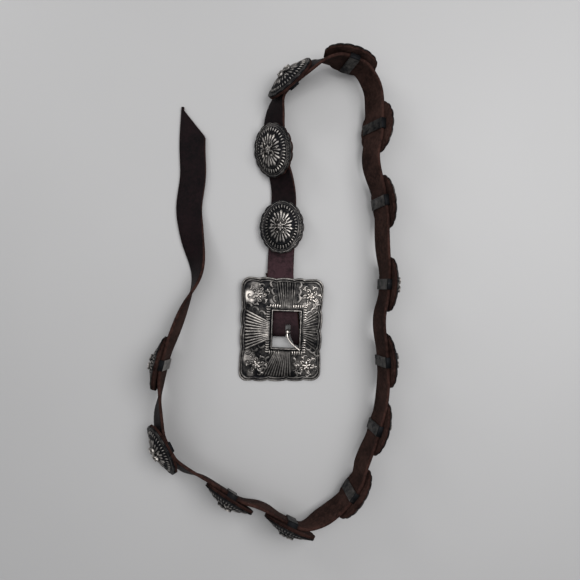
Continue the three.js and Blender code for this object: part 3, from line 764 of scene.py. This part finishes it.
def strapMesh():
    sections = foldSections() + routeSections()
    vertices, faces = ringStack(sections, caps=True)
    side = strapValues["pointsAcross"] - 1
    edge = [2] * (len(sections[0]) // 2 - side)
    slots = ([0] * side + edge + [1] * side + edge) * (len(sections) - 1) + [2, 2]
    width = strapValues["width"]
    outline = [(right * width, along * width) for right, along in slotOutline]
    cutter = prismMesh("slot", outline, *strapValues["slotDepth"])
    cutter.transform(matrixOf(barRight, barOnward, (0, 0, 1), (barMiddle[0], barMiddle[1], 0)))
    return withoutSolid(meshOf("strap_leather", vertices, faces, slots=slots), cutter)


placed("strap_leather", strapMesh(), "belt", leatherSet, Matrix.Identity(4), ["strap"], 50)
print("strap made")


# Conchos: worked out as a round of the mean radius, then stretched to the oval

ringStamps = ringTree()
rowStamps = rowTree()
fluteFans = fanTree()

conchoRadius = (conchoValues["length"] + conchoValues["width"]) / 4
ovalStretch = Matrix.Diagonal((conchoValues["length"] / (2 * conchoRadius),
                               conchoValues["width"] / (2 * conchoRadius), 1, 1))


def domeHeight(share):
    foot = conchoValues["footShare"]
    return conchoValues["thickness"] + conchoValues["dome"] * (1 - (np.minimum(share, foot) / foot) ** 2)


def domeLean(share):
    foot = conchoValues["footShare"]
    return math.atan(2 * conchoValues["dome"] * share / (foot * foot * conchoRadius))


# Places across the shell, from the middle of the face out to the rim: how far out, the rise over the dome,
# and how much of the silver is rubbed bright. Then how far out the rings of its hollow are.
shellProfile = [
    (0.0, 0.0, 0.2), (0.05, 0.0, 0.2), (0.12, 0.0, 0.1), (0.20, -0.1, 0.05), (0.30, -0.12, 0.03),
    (0.40, -0.12, 0.03), (0.50, -0.12, 0.03), (0.57, -0.12, 0.03), (0.595, -0.1, 0.05), (0.605, 0.06, 0.2),
    (0.615, 0.06, 0.2), (0.625, -0.12, 0.03), (0.68, -0.14, 0.0), (0.74, -0.14, 0.0), (0.79, -0.12, 0.02),
    (0.805, 0.05, 0.25), (0.82, 0.2, 0.42), (0.835, 0.12, 0.22), (0.85, -0.02, 0.05), (0.89, 0.0, 0.05),
    (0.93, 0.08, 0.1), (0.96, 0.16, 0.18), (0.982, 0.1, 0.3), (0.997, -0.2, 0.26), (1.0, -0.5, 0.15),
]
hollowRings = (1.0, 0.985, 0.93, 0.84, 0.80, 0.62, 0.42, 0.2, 0.0)


# Angles round the outline, and how deep the notch between two scallops is at each.
def scallopAngles(perScallop):
    around = conchoValues["scallops"] * perScallop
    angles = np.arange(around) * 2 * math.pi / around
    return angles, 1 - np.abs(np.cos(angles * conchoValues["scallops"] / 2)) ** 0.7


def conchoShell():
    angles, notches = scallopAngles(12)

    def ring(share, height):
        deep = float(smooth(conchoValues["scallopFrom"], 1.0, share)) * conchoValues["scallopDepth"]
        reach = share * (conchoRadius - deep * notches)
        return np.column_stack([reach * np.cos(angles), reach * np.sin(angles), np.full(len(angles), height)])

    rings, relief = [], []
    for share, rise, bright in shellProfile:
        rings.append(ring(share, float(domeHeight(share)) + rise))
        relief.append(bright - (conchoValues["notchShade"] if share > 0.9 else 0.0) * notches)
    for share in hollowRings:
        hollow = float(domeHeight(share * 1.04)) - conchoValues["thickness"] if share < 0.82 else 0.0
        rings.append(ring(share, hollow + (0.3 if share == 1.0 else 0.0)))
        relief.append(np.full(len(angles), conchoValues["hollowBright"]))
    return meshOf("shell", *ringStack(rings), np.concatenate(relief))


def arcPath(radius, spread, steps, turn=0.0):
    angles = np.linspace(-spread, spread, steps) + turn
    return np.column_stack([radius * np.cos(angles) - radius, radius * np.sin(angles)])


def taper(steps, ends, power=0.5):
    shares = np.linspace(0, 1, steps)
    return ends + (1 - ends) * np.sin(np.pi * shares) ** power


def fluteStamp(name, length, inner, outer, height, bow, steps=14):
    shares = np.linspace(0, 1, steps)
    closing = np.sqrt(np.maximum(0.04, 1 - (np.maximum(0, shares - 0.85) / 0.15) ** 2))
    width = (inner + (outer - inner) * shares) * closing
    tall = height * (0.55 + 0.45 * shares) * np.where(shares > 0.92, 0.75, 1)
    path = np.column_stack([length * shares, 0 * shares])
    return reliefForm(name, path, width, tall, lift=bow * 4 * shares * (1 - shares))


def petalStamp(name, length, width, height, steps=9):
    shares = np.linspace(0, 1, steps)
    fill = np.maximum(0.08, np.sin(np.pi * shares ** 0.8) ** 0.8)
    path = np.column_stack([length * shares, 0 * shares])
    return reliefForm(name, path, width * fill, height * (0.3 + 0.7 * fill))


# A short bar, slightly bowed, that grows wider outwards.
def commaStamp(name, length, bow, width, height, steps=8):
    shares = np.linspace(0, 1, steps)
    path = np.column_stack([length * (shares - 0.5), bow * (4 * shares * (1 - shares) - 0.5)])
    fill = taper(steps, 0.3) * (0.75 + 0.25 * shares)
    return reliefForm(name, path, width * fill, height * fill, around=5)


def crescentStamp(name, radius, spread, width, height, steps=9):
    fill = taper(steps, 0.25)
    return reliefForm(name, arcPath(radius, spread, steps), width * fill, height * fill, around=5, bright=0.5)


# A leaf that curls in at its end.
def curlStamp(name, length, width, height, curl, steps=16, bright=1.0, sink=0.5):
    shares = np.linspace(0, 1, steps)
    heading = curl * shares ** 1.6
    step = length / (steps - 1)
    path = np.cumsum(np.column_stack([np.cos(heading), np.sin(heading)]) * step, axis=0)
    fill = (0.35 + 0.65 * np.sin(np.pi * np.minimum(1, shares * 0.75 + 0.25))) * (1 - 0.25 * shares)
    tall = height * (0.6 + 0.4 * fill)
    return reliefForm(name, path, width * fill, tall, around=5, sink=sink, bright=bright)


def conchoFace():
    r = conchoRadius
    fluteSpacing = 0.59 * 2 * math.pi * r / conchoValues["flutes"]
    flute = fluteStamp("flute", length=0.43 * r, inner=0.62, outer=fluteSpacing * 0.74, height=0.7, bow=0.33)
    comma = commaStamp("comma", length=0.165 * r, bow=0.34, width=1.3, height=0.75)
    rimArc = crescentStamp("rim_arc", radius=0.95, spread=1.2, width=0.4, height=0.16)
    rimLine = reliefForm("rim_line", [(0, 0), (0.5, 0), (1.1, 0)], widths=[0.4, 0.45, 0.3],
                         heights=[0.12, 0.16, 0.1], around=4)
    petal = petalStamp("petal", length=3.4, width=2.0, height=1.0)
    smallPetal = petalStamp("small_petal", length=2.1, width=1.3, height=0.8)
    leafSizes = {"length": 7.6, "width": 1.6, "height": 2.2, "sink": 1.6}
    leaf = curlStamp("leaf", curl=3.5, **leafSizes)
    backLeaf = curlStamp("back_leaf", curl=-3.5, **leafSizes)
    ball = ballStamp("ball", radius=0.95)
    heart = ballStamp("heart", radius=1.15)

    def ring(stamp, count, share, sink=0.0, **more):
        more = {"lean": domeLean(share), **more}
        return grown(ringStamps, stamp=stamp, count=count, radius=share * r,
                     height=float(domeHeight(share)) + sink, finish=silverConcho, **more)

    # stamp, how many, share of the radius outwards, rise over the dome
    return [
        ring(flute, conchoValues["flutes"], 0.165, -0.06, lean=domeLean(0.375), second=0.86),
        ring(comma, conchoValues["commas"], 0.71, -0.12),
        ring(rimArc, conchoValues["rimStamps"], 0.935, 0.06, lean=0.0),
        ring(rimLine, conchoValues["rimStamps"] * 2, 0.868, 0.0, lean=0.0),
        ring(petal, 6, 0.035, 0.35, lean=0.12),
        ring(smallPetal, 6, 0.03, 0.95, lean=0.12, start=math.pi / 6),
        ring(leaf, 2, 0.13, 0.4, lean=0.2, start=math.pi / 2 + 0.3),
        ring(backLeaf, 2, 0.13, 0.4, lean=0.2, start=math.pi / 2 - 0.3),
        ring(ball, 2, 0.25, 0.7, start=0.55),
        ring(ball, 2, 0.25, 0.7, start=-0.55),
        ring(ball, 2, 0.43, 0.5, start=math.pi / 2),
        ring(heart, 3, 0.001, 1.1, lean=0.0),
    ]


# A flat band swept along a path in the plane across the belt.
def bandAlong(name, path, width, thickness, rounding, brightness):
    w, t, r = width / 2, thickness / 2, rounding
    corners = [(w - r, t), (w, t - r), (w, r - t), (w - r, -t),
               (r - w, -t), (-w, r - t), (-w, t - r), (r - w, t)]
    rings = [[(x, *(point + normal * rise)) for x, rise in corners]
             for point, normal in zip(path, waysAlong(path)[1])]
    return meshOf(name, *ringStack(rings, caps=True), np.repeat(brightness, len(corners)), weldReach=0.0)


def roundedPath(corners, radius, steps=5):
    corners = [np.asarray(c, float) for c in corners]
    path = [corners[0]]
    for before, here, after in zip(corners, corners[1:], corners[2:]):
        a = here + unit(before - here) * radius
        b = here + unit(after - here) * radius
        for i in range(steps + 1):
            s = i / steps
            path.append((1 - s) ** 2 * a + 2 * s * (1 - s) * here + s * s * b)
    path.append(corners[-1])
    return np.array(path)


def conchoLoop(bright):
    thickness = conchoValues["loopThickness"]
    reach = halfStrap + conchoValues["loopClearance"] + thickness / 2
    back = -(seatOffset + strapValues["thickness"] / 2 + conchoValues["loopClearance"] + thickness / 2)
    inShell = float(domeHeight(conchoValues["loopFootShare"])) - conchoValues["loopFootSink"]
    path = roundedPath([(-reach, inShell), (-reach, back), (0, back), (reach, back), (reach, inShell)],
                       conchoValues["loopBend"])
    brightness = np.where(np.abs(path[:, 0]) < reach - 0.6, bright, 0.0)
    return bandAlong("loop", path, conchoValues["loopLength"], thickness, conchoValues["loopRounding"],
                     brightness)


# The ornament inside the rim is drawn out along the belt more than the outline is.
def drawnOut(mesh):
    for vertex in mesh.vertices:
        share = math.hypot(vertex.co.x, vertex.co.y) / conchoRadius
        around = 2 * math.atan2(vertex.co.y, vertex.co.x)
        factor = 1 + conchoValues["drawnOut"] * (1 - float(smooth(0.84, 0.99, share))) * math.cos(around)
        vertex.co.x *= factor
        vertex.co.y *= factor
    mesh.transform(ovalStretch)
    return mesh


def backingParts():
    angles, notches = scallopAngles(8)
    top = -strapValues["gap"]
    low = top - conchoValues["backing"]

    def ring(inset, height):
        drop = inset + conchoValues["scallopDepth"] * notches
        return np.column_stack([
            (conchoValues["length"] / 2 - drop) * np.cos(angles),
            (conchoValues["width"] / 2 - drop) * np.sin(angles), np.full(len(angles), height)])

    middle, half, deep = (top + low) / 2, conchoValues["layerLine"], conchoValues["layerLineDepth"]
    inset, chamfer = conchoValues["backingChamfer"], conchoValues["backingChamferDepth"]
    rings = [ring(inset, top), ring(0.0, top - chamfer), ring(0.0, middle + half), ring(deep, middle),
             ring(0.0, middle - half), ring(0.0, low + chamfer), ring(inset, low)]
    slots = [2] * (len(rings) - 1) * len(angles) + [0, 1]
    mesh = meshOf("backing", *ringStack(rings, caps=True), slots=slots)
    half = conchoValues["loopLength"] / 2 + strapValues["gap"]
    near = halfStrap + conchoValues["loopClearance"] - strapValues["gap"]
    far = near + conchoValues["loopThickness"] + 2 * strapValues["gap"]
    for side in (-1, 1):
        outline = [(-half, side * near), (half, side * near), (half, side * far), (-half, side * far)]
        mesh = withoutSolid(mesh, prismMesh("slot", outline, low - 2, top + 2))
    return mesh


conchoFaceMesh = drawnOut(joinedMesh("face", [conchoShell()] + conchoFace()))
backingMesh = backingParts()
print("concho face triangles", trianglesOf(conchoFaceMesh))
for k, matrix in enumerate(conchoMatrices, 1):
    number = f"{k:02d}"
    loop = conchoLoop(conchoValues["loopRubbed" if k in conchoValues["rubbedLoops"] else "loopDull"])
    placed(f"silver_concho_{number}", joinedMesh("concho", [conchoFaceMesh, loop]), "belt", [silverConcho],
           matrix, [f"concho_{number}"], 60)
    placed(f"leather_backing_{number}", backingMesh.copy(), "belt", leatherSet,
           matrix, [f"backing_{number}"], 50)
print("conchos made")


# Buckle: a lobed plate with a double rim line, a raised frame round its opening and fans of flutes

halfWidth = buckleValues["width"] / 2
halfLength = buckleValues["length"] / 2
openingX = buckleValues["openingShift"]
openingY = halfLength + buckleValues["openingRise"]

# Notches between the lobes, as shares of the half width and half length.
buckleNotches = [(-1, 0.4), (-1, 0.05), (-1, -0.39), (-0.66, -1), (-0.29, -1), (0.18, -1), (0.61, -1),
                 (1, -0.4), (1, 0), (1, 0.4), (0.55, 1), (0.3, 1), (-0.17, 1), (-0.58, 1)]

# Corner flowers: shares of the half width and half length, and the angle at which each starts.
cornerFlowers = [(-0.57, 0.67, 0.3), (0.68, 0.66, 1.1), (-0.57, -0.68, 2.0), (0.65, -0.67, 2.9)]


def bucklePlaneDome(x, y):
    shareX = np.minimum(1, np.abs(x) / (halfWidth - buckleValues["rimWidth"]))
    shareY = np.minimum(1, np.abs(y - halfLength) / (halfLength - buckleValues["rimWidth"]))
    return buckleValues["dome"] * (1 - shareX ** 2) * (1 - shareY ** 2)


def evenly(points, count):
    points = np.vstack([points, points[:1]])
    lengths = np.concatenate([[0], np.cumsum(np.linalg.norm(np.diff(points, axis=0), axis=1))])
    at = np.arange(count) * lengths[-1] / count
    return np.column_stack([np.interp(at, lengths, points[:, i]) for i in range(2)])


def roundedRectangle(count):
    w, h, r = halfWidth, halfLength, buckleValues["cornerRadius"]
    points = [(w, h)]
    for sx, sy, start in ((1, 1, 0), (-1, 1, 90), (-1, -1, 180), (1, -1, 270)):
        for i in range(13):
            angle = math.radians(start + 90 * i / 12)
            points.append((sx * (w - r) + r * math.cos(angle), h + sy * (h - r) + r * math.sin(angle)))
    return evenly(np.array(points), count)


# How far points are from a place that is given as shares of the half width and half length.
def placeAway(points, x, y):
    return np.hypot(points[:, 0] - x * halfWidth, points[:, 1] - halfLength - y * halfLength)


def lobedOutline(perLobe=30):
    fine = roundedRectangle(2880)
    nearest = sorted(int(np.argmin(placeAway(fine, x, y))) for x, y in buckleNotches)
    outline = []
    for k, begin in enumerate(nearest):
        finish = nearest[k + 1] if k + 1 < len(nearest) else nearest[0] + len(fine)
        for i in range(perLobe):
            share = i / perLobe
            base = fine[int(round(begin + share * (finish - begin))) % len(fine)]
            inwards = unit(np.array([0, halfLength]) - base)
            point = base + inwards * buckleValues["lobeDepth"] * (1 - math.sin(math.pi * share) ** 0.6)
            lowness = 1 - point[1] / buckleValues["length"]
            point[1] += buckleValues["lowerEdgeSkew"] * point[0] * lowness ** 2
            outline.append(point)
    return np.array(outline)


# Places of the field that are made bright: rubbed bright silver, and painted highlight as well, since the
# places on the left are made larger and brighter than those on the right. Columns: shares of the half width
# and half length, reach, how bright.
rubbedAndHighlitPlaces = [(-0.79, 0.62, 9.0, 1.0), (-0.57, 0.67, 7.5, 0.75), (-0.57, -0.68, 6.5, 0.6),
                (-0.66, 0.84, 6.0, 0.6), (-0.22, 0.55, 4.2, 0.62), (-0.76, -0.55, 9.0, 0.85),
                (-0.70, -0.86, 5.0, 0.5), (0.86, 0.50, 5.5, 0.6), (0.56, 0.50, 3.6, 0.4),
                (0.84, -0.50, 5.0, 0.45), (0.42, -0.62, 5.0, 0.5), (0.78, -0.86, 4.5, 0.4)]


def fieldBrightness(points):
    bright = np.full(len(points), buckleValues["fieldBright"])
    for x, y, reach, level in rubbedAndHighlitPlaces:
        bright = np.maximum(bright, level * (1 - smooth(reach * 0.35, reach, placeAway(points, x, y))))
    return bright


# Across the rim from its outer edge, and across the frame towards the opening: share of the width, rise and
# brightness.
rimProfile = [(0.0, 0.9, 0.3), (0.04, 1.2, 0.45), (0.12, 1.62, 0.6), (0.22, 1.75, 0.6), (0.32, 1.62, 0.3),
              (0.4, 1.2, 0.05), (0.48, 1.15, 0.0), (0.55, 1.45, 0.15), (0.64, 1.75, 0.4), (0.74, 1.85, 0.5),
              (0.84, 1.65, 0.25), (0.92, 1.3, 0.03), (1.0, 1.32, 0.03)]
frameProfile = [(0.9, 0.0, 0.02), (0.74, 0.15, 0.02), (0.62, 0.6, 0.1), (0.52, 0.95, 0.6), (0.4, 1.08, 0.72),
                (0.3, 1.0, 0.6), (0.2, 0.8, 0.15), (0.08, 0.5, 0.05), (0.0, 0.2, 0.05)]


def plateMesh():
    outline = lobedOutline()
    middle = np.array([openingX, openingY])
    angles = np.arctan2(outline[:, 1] - middle[1], outline[:, 0] - middle[0])
    innerX, innerY = buckleValues["openingWidth"] / 2, buckleValues["openingLength"] / 2
    for sx, sy in ((1, 1), (-1, 1), (-1, -1), (1, -1)):
        target = math.atan2(sy * innerY, sx * innerX)
        off = np.abs(np.angle(np.exp(1j * (angles - target))))
        angles[int(np.argmin(off))] = target

    def rectangle(grow):
        ways = np.column_stack([np.cos(angles), np.sin(angles)])
        reach = np.array([innerX + grow, innerY + grow]) / np.maximum(1e-9, abs(ways))
        return middle + ways * reach.min(axis=1)[:, None]

    opening, frameLine = rectangle(0), rectangle(buckleValues["frameWidth"])
    inwards = np.array([0, halfLength]) - outline
    inwards /= np.linalg.norm(inwards, axis=1)[:, None]
    rimInner = outline + inwards * buckleValues["rimWidth"]
    rings, relief = [], []

    def add(points, rise, bright):
        rings.append(np.column_stack([points, bucklePlaneDome(points[:, 0], points[:, 1]) + rise]))
        relief.append(np.full(len(points), bright))

    top, under = buckleValues["plate"], buckleValues["underBright"]
    for share in (0.0, 0.25, 0.5, 0.75, 1.0):
        add(opening + (rimInner - opening) * share, 0.0, under)
    add(outline, 0.0, under)
    for share, rise, bright in rimProfile:
        add(outline + (rimInner - outline) * share, rise, bright)
    for share in np.linspace(0.04, 0.96, buckleValues["fieldRings"]):
        line = rimInner + (frameLine - rimInner) * share
        add(line, top, fieldBrightness(line))
    add(frameLine, top - 0.1, 0.05)
    for grow, rise, bright in frameProfile:
        add(rectangle(buckleValues["frameWidth"] * grow), top + rise, bright)
    return meshOf("plate", *ringStack(rings, endless=True), np.concatenate(relief))


# A round tube along a path, with rings that start at right angles to the given way up.
def tubeMesh(name, path, radii, around, up, relief):
    turns = np.arange(around) * 2 * math.pi / around
    rings = []
    for point, way, radius in zip(path, waysAlong(path)[0], radii):
        side = unit(np.cross(way, up))
        other = np.cross(side, way)
        rings.append([point + (side * math.cos(a) + other * math.sin(a)) * radius for a in turns])
    return meshOf(name, *ringStack(rings, caps=True), relief)


# A straight rod that is a little thinner at its ends.
def rodMesh(name, start, end, radius):
    start, end = np.array(start, float), np.array(end, float)
    path = start + (end - start) * np.array([0, 0.02, 0.98, 1])[:, None]
    return tubeMesh(name, path, radius * np.array([0.8, 1, 1, 0.8]), 16, (0.3, 0.1, 0.9), 0.6)


def flat(x, y):
    return Vector((x, y, 0.0))


def buckleMesh():
    plate = plateMesh()
    surface = stampObject("plate_surface", plate.copy())

    bar = commaStamp("frame_bar", length=4.1, bow=0.6, width=1.6, height=1.2)
    leafSizes = {"length": 8.0, "width": 2.9, "height": 1.1, "bright": 0.6}
    leaves = {1: curlStamp("side_leaf", curl=3.0, **leafSizes),
              -1: curlStamp("side_back_leaf", curl=-3.0, **leafSizes)}

    def row(stamp, count, start, end, turn):
        return grown(rowStamps, stamp=stamp, surface=surface, count=count, turn=turn, finish=silverBuckle,
                     **{"from": flat(*start), "to": flat(*end)})

    sideX = buckleValues["openingWidth"] / 2 + buckleValues["frameWidth"]
    sideY = buckleValues["openingLength"] / 2 + buckleValues["frameWidth"]
    left, right = openingX - sideX, openingX + sideX
    low, high = openingY - sideY, openingY + sideY
    # how many flutes, first and last at the frame, first and last at the rim, bulge, thin, thick, tone. The
    # tone is set apart for each fan, which paints light and shade onto them: the left fan is brightest, as a
    # painted highlight, and the top and right fans are darkest, as painted shade.
    fans = [
        (8, (-0.6, high + 0.8), (9.4, high + 0.8), (-4.8, 84.0), (10.4, 84.0),
         (0, 1.0), 0.42, 0.72, (-0.05, 0.5)),
        (11, (-3.8, low - 0.6), (7.6, low - 0.6), (-14.6, 5.0), (9.2, 4.6),
         (0, -0.6), 0.4, 0.8, (-0.05, 0.72)),
        (12, (left - 0.6, 37.4), (left - 0.6, 50.6), (-29.9, 26.8), (-29.9, 59.6),
         (-0.6, 0), 0.42, 0.98, (0.08, 0.95)),
        (12, (right + 0.6, 37.0), (right + 0.6, 52.6), (30.4, 27.6), (30.4, 61.4),
         (0.5, 0), 0.42, 0.84, (-0.1, 0.52)),
    ]
    parts = []
    for count, start, startEnd, to, toEnd, bulge, thin, thick, tone in fans:
        ends = {"from": flat(*start), "fromend": flat(*startEnd), "to": flat(*to), "toend": flat(*toEnd)}
        parts.append(grown(fluteFans, tone, surface=surface, count=count, bulge=flat(*bulge), thin=thin,
                           thick=thick, finish=silverBuckle, **ends))
    # rows of bars from the corners of the frame, along its short sides and along its long ones
    out = 2.0
    for sx, sy in ((-1, 1), (1, 1), (-1, -1), (1, -1)):
        x, y = openingX + sx * (sideX + out), openingY + sy * (sideY + out)
        parts.append(row(bar, 5, (x - sx * 2.0, y), (x - sx * 9.6, y), sy * math.pi / 2))
        parts.append(row(bar, 6, (x, y - sy * 0.6), (x, y - sy * 10.8), 0.0 if sx > 0 else math.pi))
    for count, start, end, turn, hand in sideLeaves:
        parts.append(row(leaves[hand], count, start, end, math.radians(turn)))
    parts += flowerClusters()
    parts += [plate] + barParts()
    return joinedMesh("silver_buckle", parts)


# Rows of leaves beside the fans: how many, first and last place in millimetres, the way they point in
# degrees, and the side that they curl to.
sideLeaves = [
    (3, (-4.6, 67.5), (-7.6, 79.5), 150, -1),
    (3, (-13.5, 56.5), (-25.0, 62.5), 110, 1),
    (3, (12.6, 67.5), (13.4, 79.5), 35, 1),
    (3, (20.5, 57.5), (28.0, 63.5), 70, -1),
    (3, (-13.0, 32.0), (-24.5, 26.0), 250, -1),
    (3, (-8.2, 21.5), (-13.0, 11.5), 190, 1),
    (3, (20.5, 31.5), (28.0, 26.0), 290, 1),
    (3, (10.8, 21.5), (12.6, 9.5), 330, -1),
]


# Corner flowers: petals round a heart, two rounds of curled leaves, and balls between them.
def flowerClusters():
    petal = petalStamp("corner_petal", length=3.7, width=2.3, height=1.3)
    leaf = curlStamp("corner_leaf", length=7.4, width=1.7, height=1.3, curl=4.4, bright=0.8)
    backLeaf = curlStamp("corner_back_leaf", length=7.4, width=2.0, height=1.2, curl=-4.0, bright=0.72)
    ball = ballStamp("corner_ball", radius=0.85)
    heart = ballStamp("corner_heart", radius=1.1)
    # stamp, how many, radius of the ring, height, lean, turn
    rings = [(petal, 5, 0.8, 0.45, 0.1, 0.0), (leaf, 5, 2.9, 0.1, 0.0, 0.5),
             (backLeaf, 6, 5.6, 0.0, 0.05, 1.2), (ball, 5, 4.9, 0.4, 0.0, 0.95),
             (ball, 6, 8.3, 0.1, 0.0, 0.2), (heart, 3, 0.9, 0.9, 0.0, 0.0)]
    parts = []
    for x, y, start in cornerFlowers:
        px, py = x * halfWidth, halfLength + y * halfLength
        base = float(bucklePlaneDome(px, py)) + buckleValues["plate"]
        step = 0.5
        slopeX = float(bucklePlaneDome(px + step, py) - bucklePlaneDome(px - step, py)) / (2 * step)
        slopeY = float(bucklePlaneDome(px, py + step) - bucklePlaneDome(px, py - step)) / (2 * step)
        normal = unit(np.array([-slopeX, -slopeY, 1.0]))
        sideways = unit(np.cross((0.0, 1.0, 0.0), normal))
        matrix = matrixOf(sideways, np.cross(normal, sideways), normal, (px, py, base))
        for stamp, count, radius, height, lean, turn in rings:
            mesh = grown(ringStamps, stamp=stamp, count=count, radius=radius, height=height, lean=lean,
                         start=start + turn, finish=silverBuckle)
            mesh.transform(matrix)
            parts.append(mesh)
    return parts


def barParts():
    along = halfLength - buckleValues["barBelowMiddle"]
    barZ = (buckleMatrix.inverted() @ Vector(barMiddle))[2]
    reach = buckleValues["barHalfLength"]
    radius = buckleValues["barRadius"]
    parts = [rodMesh("bar", (openingX - reach, along, barZ), (openingX + reach, along, barZ), radius)]
    for side in (-1, 1):
        x = openingX + side * (reach - radius)
        top = float(bucklePlaneDome(x, along)) + buckleValues["plate"] * 0.5
        parts.append(rodMesh("post", (x, along, barZ - 0.9), (x, along, top), radius))
    return parts


buckle = buckleMesh()
print("buckle triangles", trianglesOf(buckle))
placed("silver_buckle", buckle, "belt", [silverBuckle], buckleMatrix, ["buckle"], 60)
print("buckle made")


# Prong: a wire with a loop round the bar

prongValues = {
    "right": 1.1,
    "width": 1.5,
    "loopWall": 1.2,
    "loopWidth": 1.9,
    "bright": 0.85,
    "tip": (10.78, -14.19, 5.41),
    "line": [(0, 0.1, 0.3), (0.03, 0.28, 0.42), (0.33, 0.61, 0.72), (0.86, 0.93, 0.97), (1, 1, 1)],
}


def curveThrough(points, steps):
    points = np.asarray(points, float)
    padded = np.vstack([2 * points[0] - points[1], points, 2 * points[-1] - points[-2]])
    made = []
    for i in range(len(points) - 1):
        a, b, c, d = padded[i:i + 4]
        made += [catmull(a, b, c, d, f) for f in np.arange(steps) / steps]
    made.append(points[-1])
    return np.array(made)


def prongMesh():
    inner, wall = buckleValues["barRadius"] + strapValues["gap"], prongValues["loopWall"]
    section = [(prongValues["loopWidth"] / 2 * math.sin(a), inner + wall / 2 + wall / 2 * math.cos(a))
               for a in np.arange(10) * 2 * math.pi / 10]
    rings = [[(x, reach * math.cos(turn), reach * math.sin(turn)) for x, reach in section]
             for turn in np.arange(28) * 2 * math.pi / 28]
    loop = meshOf("prong_loop", *ringStack(rings, endless=True), prongValues["bright"])
    path = curveThrough(np.array(prongValues["line"]) * np.array(prongValues["tip"]), 7)
    shares = np.linspace(0, 1, len(path))
    radii = prongValues["width"] / 2 * (1.0 - 0.12 * shares) * np.where(shares > 0.94, 0.75, 1.0)
    return joinedMesh("prong", [loop, tubeMesh("shank", path, radii, 12, (0, 0, 1), prongValues["bright"])])


prongMatrix = matrixOf(barRight, barOnward, (0, 0, 1), barMiddle + barRight * prongValues["right"])
placed("silver_prong", prongMesh(), "prong", [silverPlain], prongMatrix, ["prong"], 50)
print("prong made")

for stamp in stamps:
    bpy.data.objects.remove(stamp)


# Table, light and camera

sceneValues = {
    "eye": (0.01463, 0.0038, 0.427),
    "lens": 31.18,
    "sensor": 36,
    "sky": 0.36,
    "skyColour": (0.97, 0.98, 1.0, 1),
    "tableReach": 3.0,
}

# Columns: name, place in metres, power in watts, size in metres.
lights = [
    ("key", (0.44, 0.2, 0.82), 7.0, 0.6),
    ("fill", (-0.42, 0.06, 1.15), 3.2, 0.85),
    ("side", (-0.62, 0.62, 0.5), 1.8, 0.3),
]


def tableTop():
    reach = sceneValues["tableReach"]
    mesh = bpy.data.meshes.new("table_top")
    mesh.from_pydata([(-reach, -reach, 0), (reach, -reach, 0), (reach, reach, 0), (-reach, reach, 0)], [],
                     [(0, 1, 2, 3)])
    made = Finish("table_paint")
    cloud = made.noise(3.0, 3.0, 0.5)
    tone = finishValues["table"]
    colour = made.ramp(cloud, [(0.3, scaled(tone, 0.97)), (0.7, scaled(tone, 1.03))])
    mesh.materials.append(made.connect(colour, made.spread(cloud, 0, 1, 0.5, 0.6)))
    linked("table_top", mesh)


def areaLight(name, place, power, size):
    data = bpy.data.lights.new(name, "AREA")
    data.energy, data.size = power, size
    light = linked(name, data)
    light.location = place
    light.rotation_euler = Vector(place).to_track_quat("Z", "Y").to_euler()


tableTop()
for row in lights:
    areaLight(*row)
world = bpy.data.worlds.new("room")
world.use_nodes = True
background = world.node_tree.nodes["Background"]
background.inputs["Color"].default_value = sceneValues["skyColour"]
background.inputs["Strength"].default_value = sceneValues["sky"]
bpy.context.scene.world = world
bpy.context.scene.view_settings.view_transform = "Standard"

camera = linked("camera", bpy.data.cameras.new("camera"))
camera.location = sceneValues["eye"]
camera.data.lens = sceneValues["lens"]
camera.data.sensor_width = sceneValues["sensor"]
bpy.context.scene.camera = camera

print("scene done")
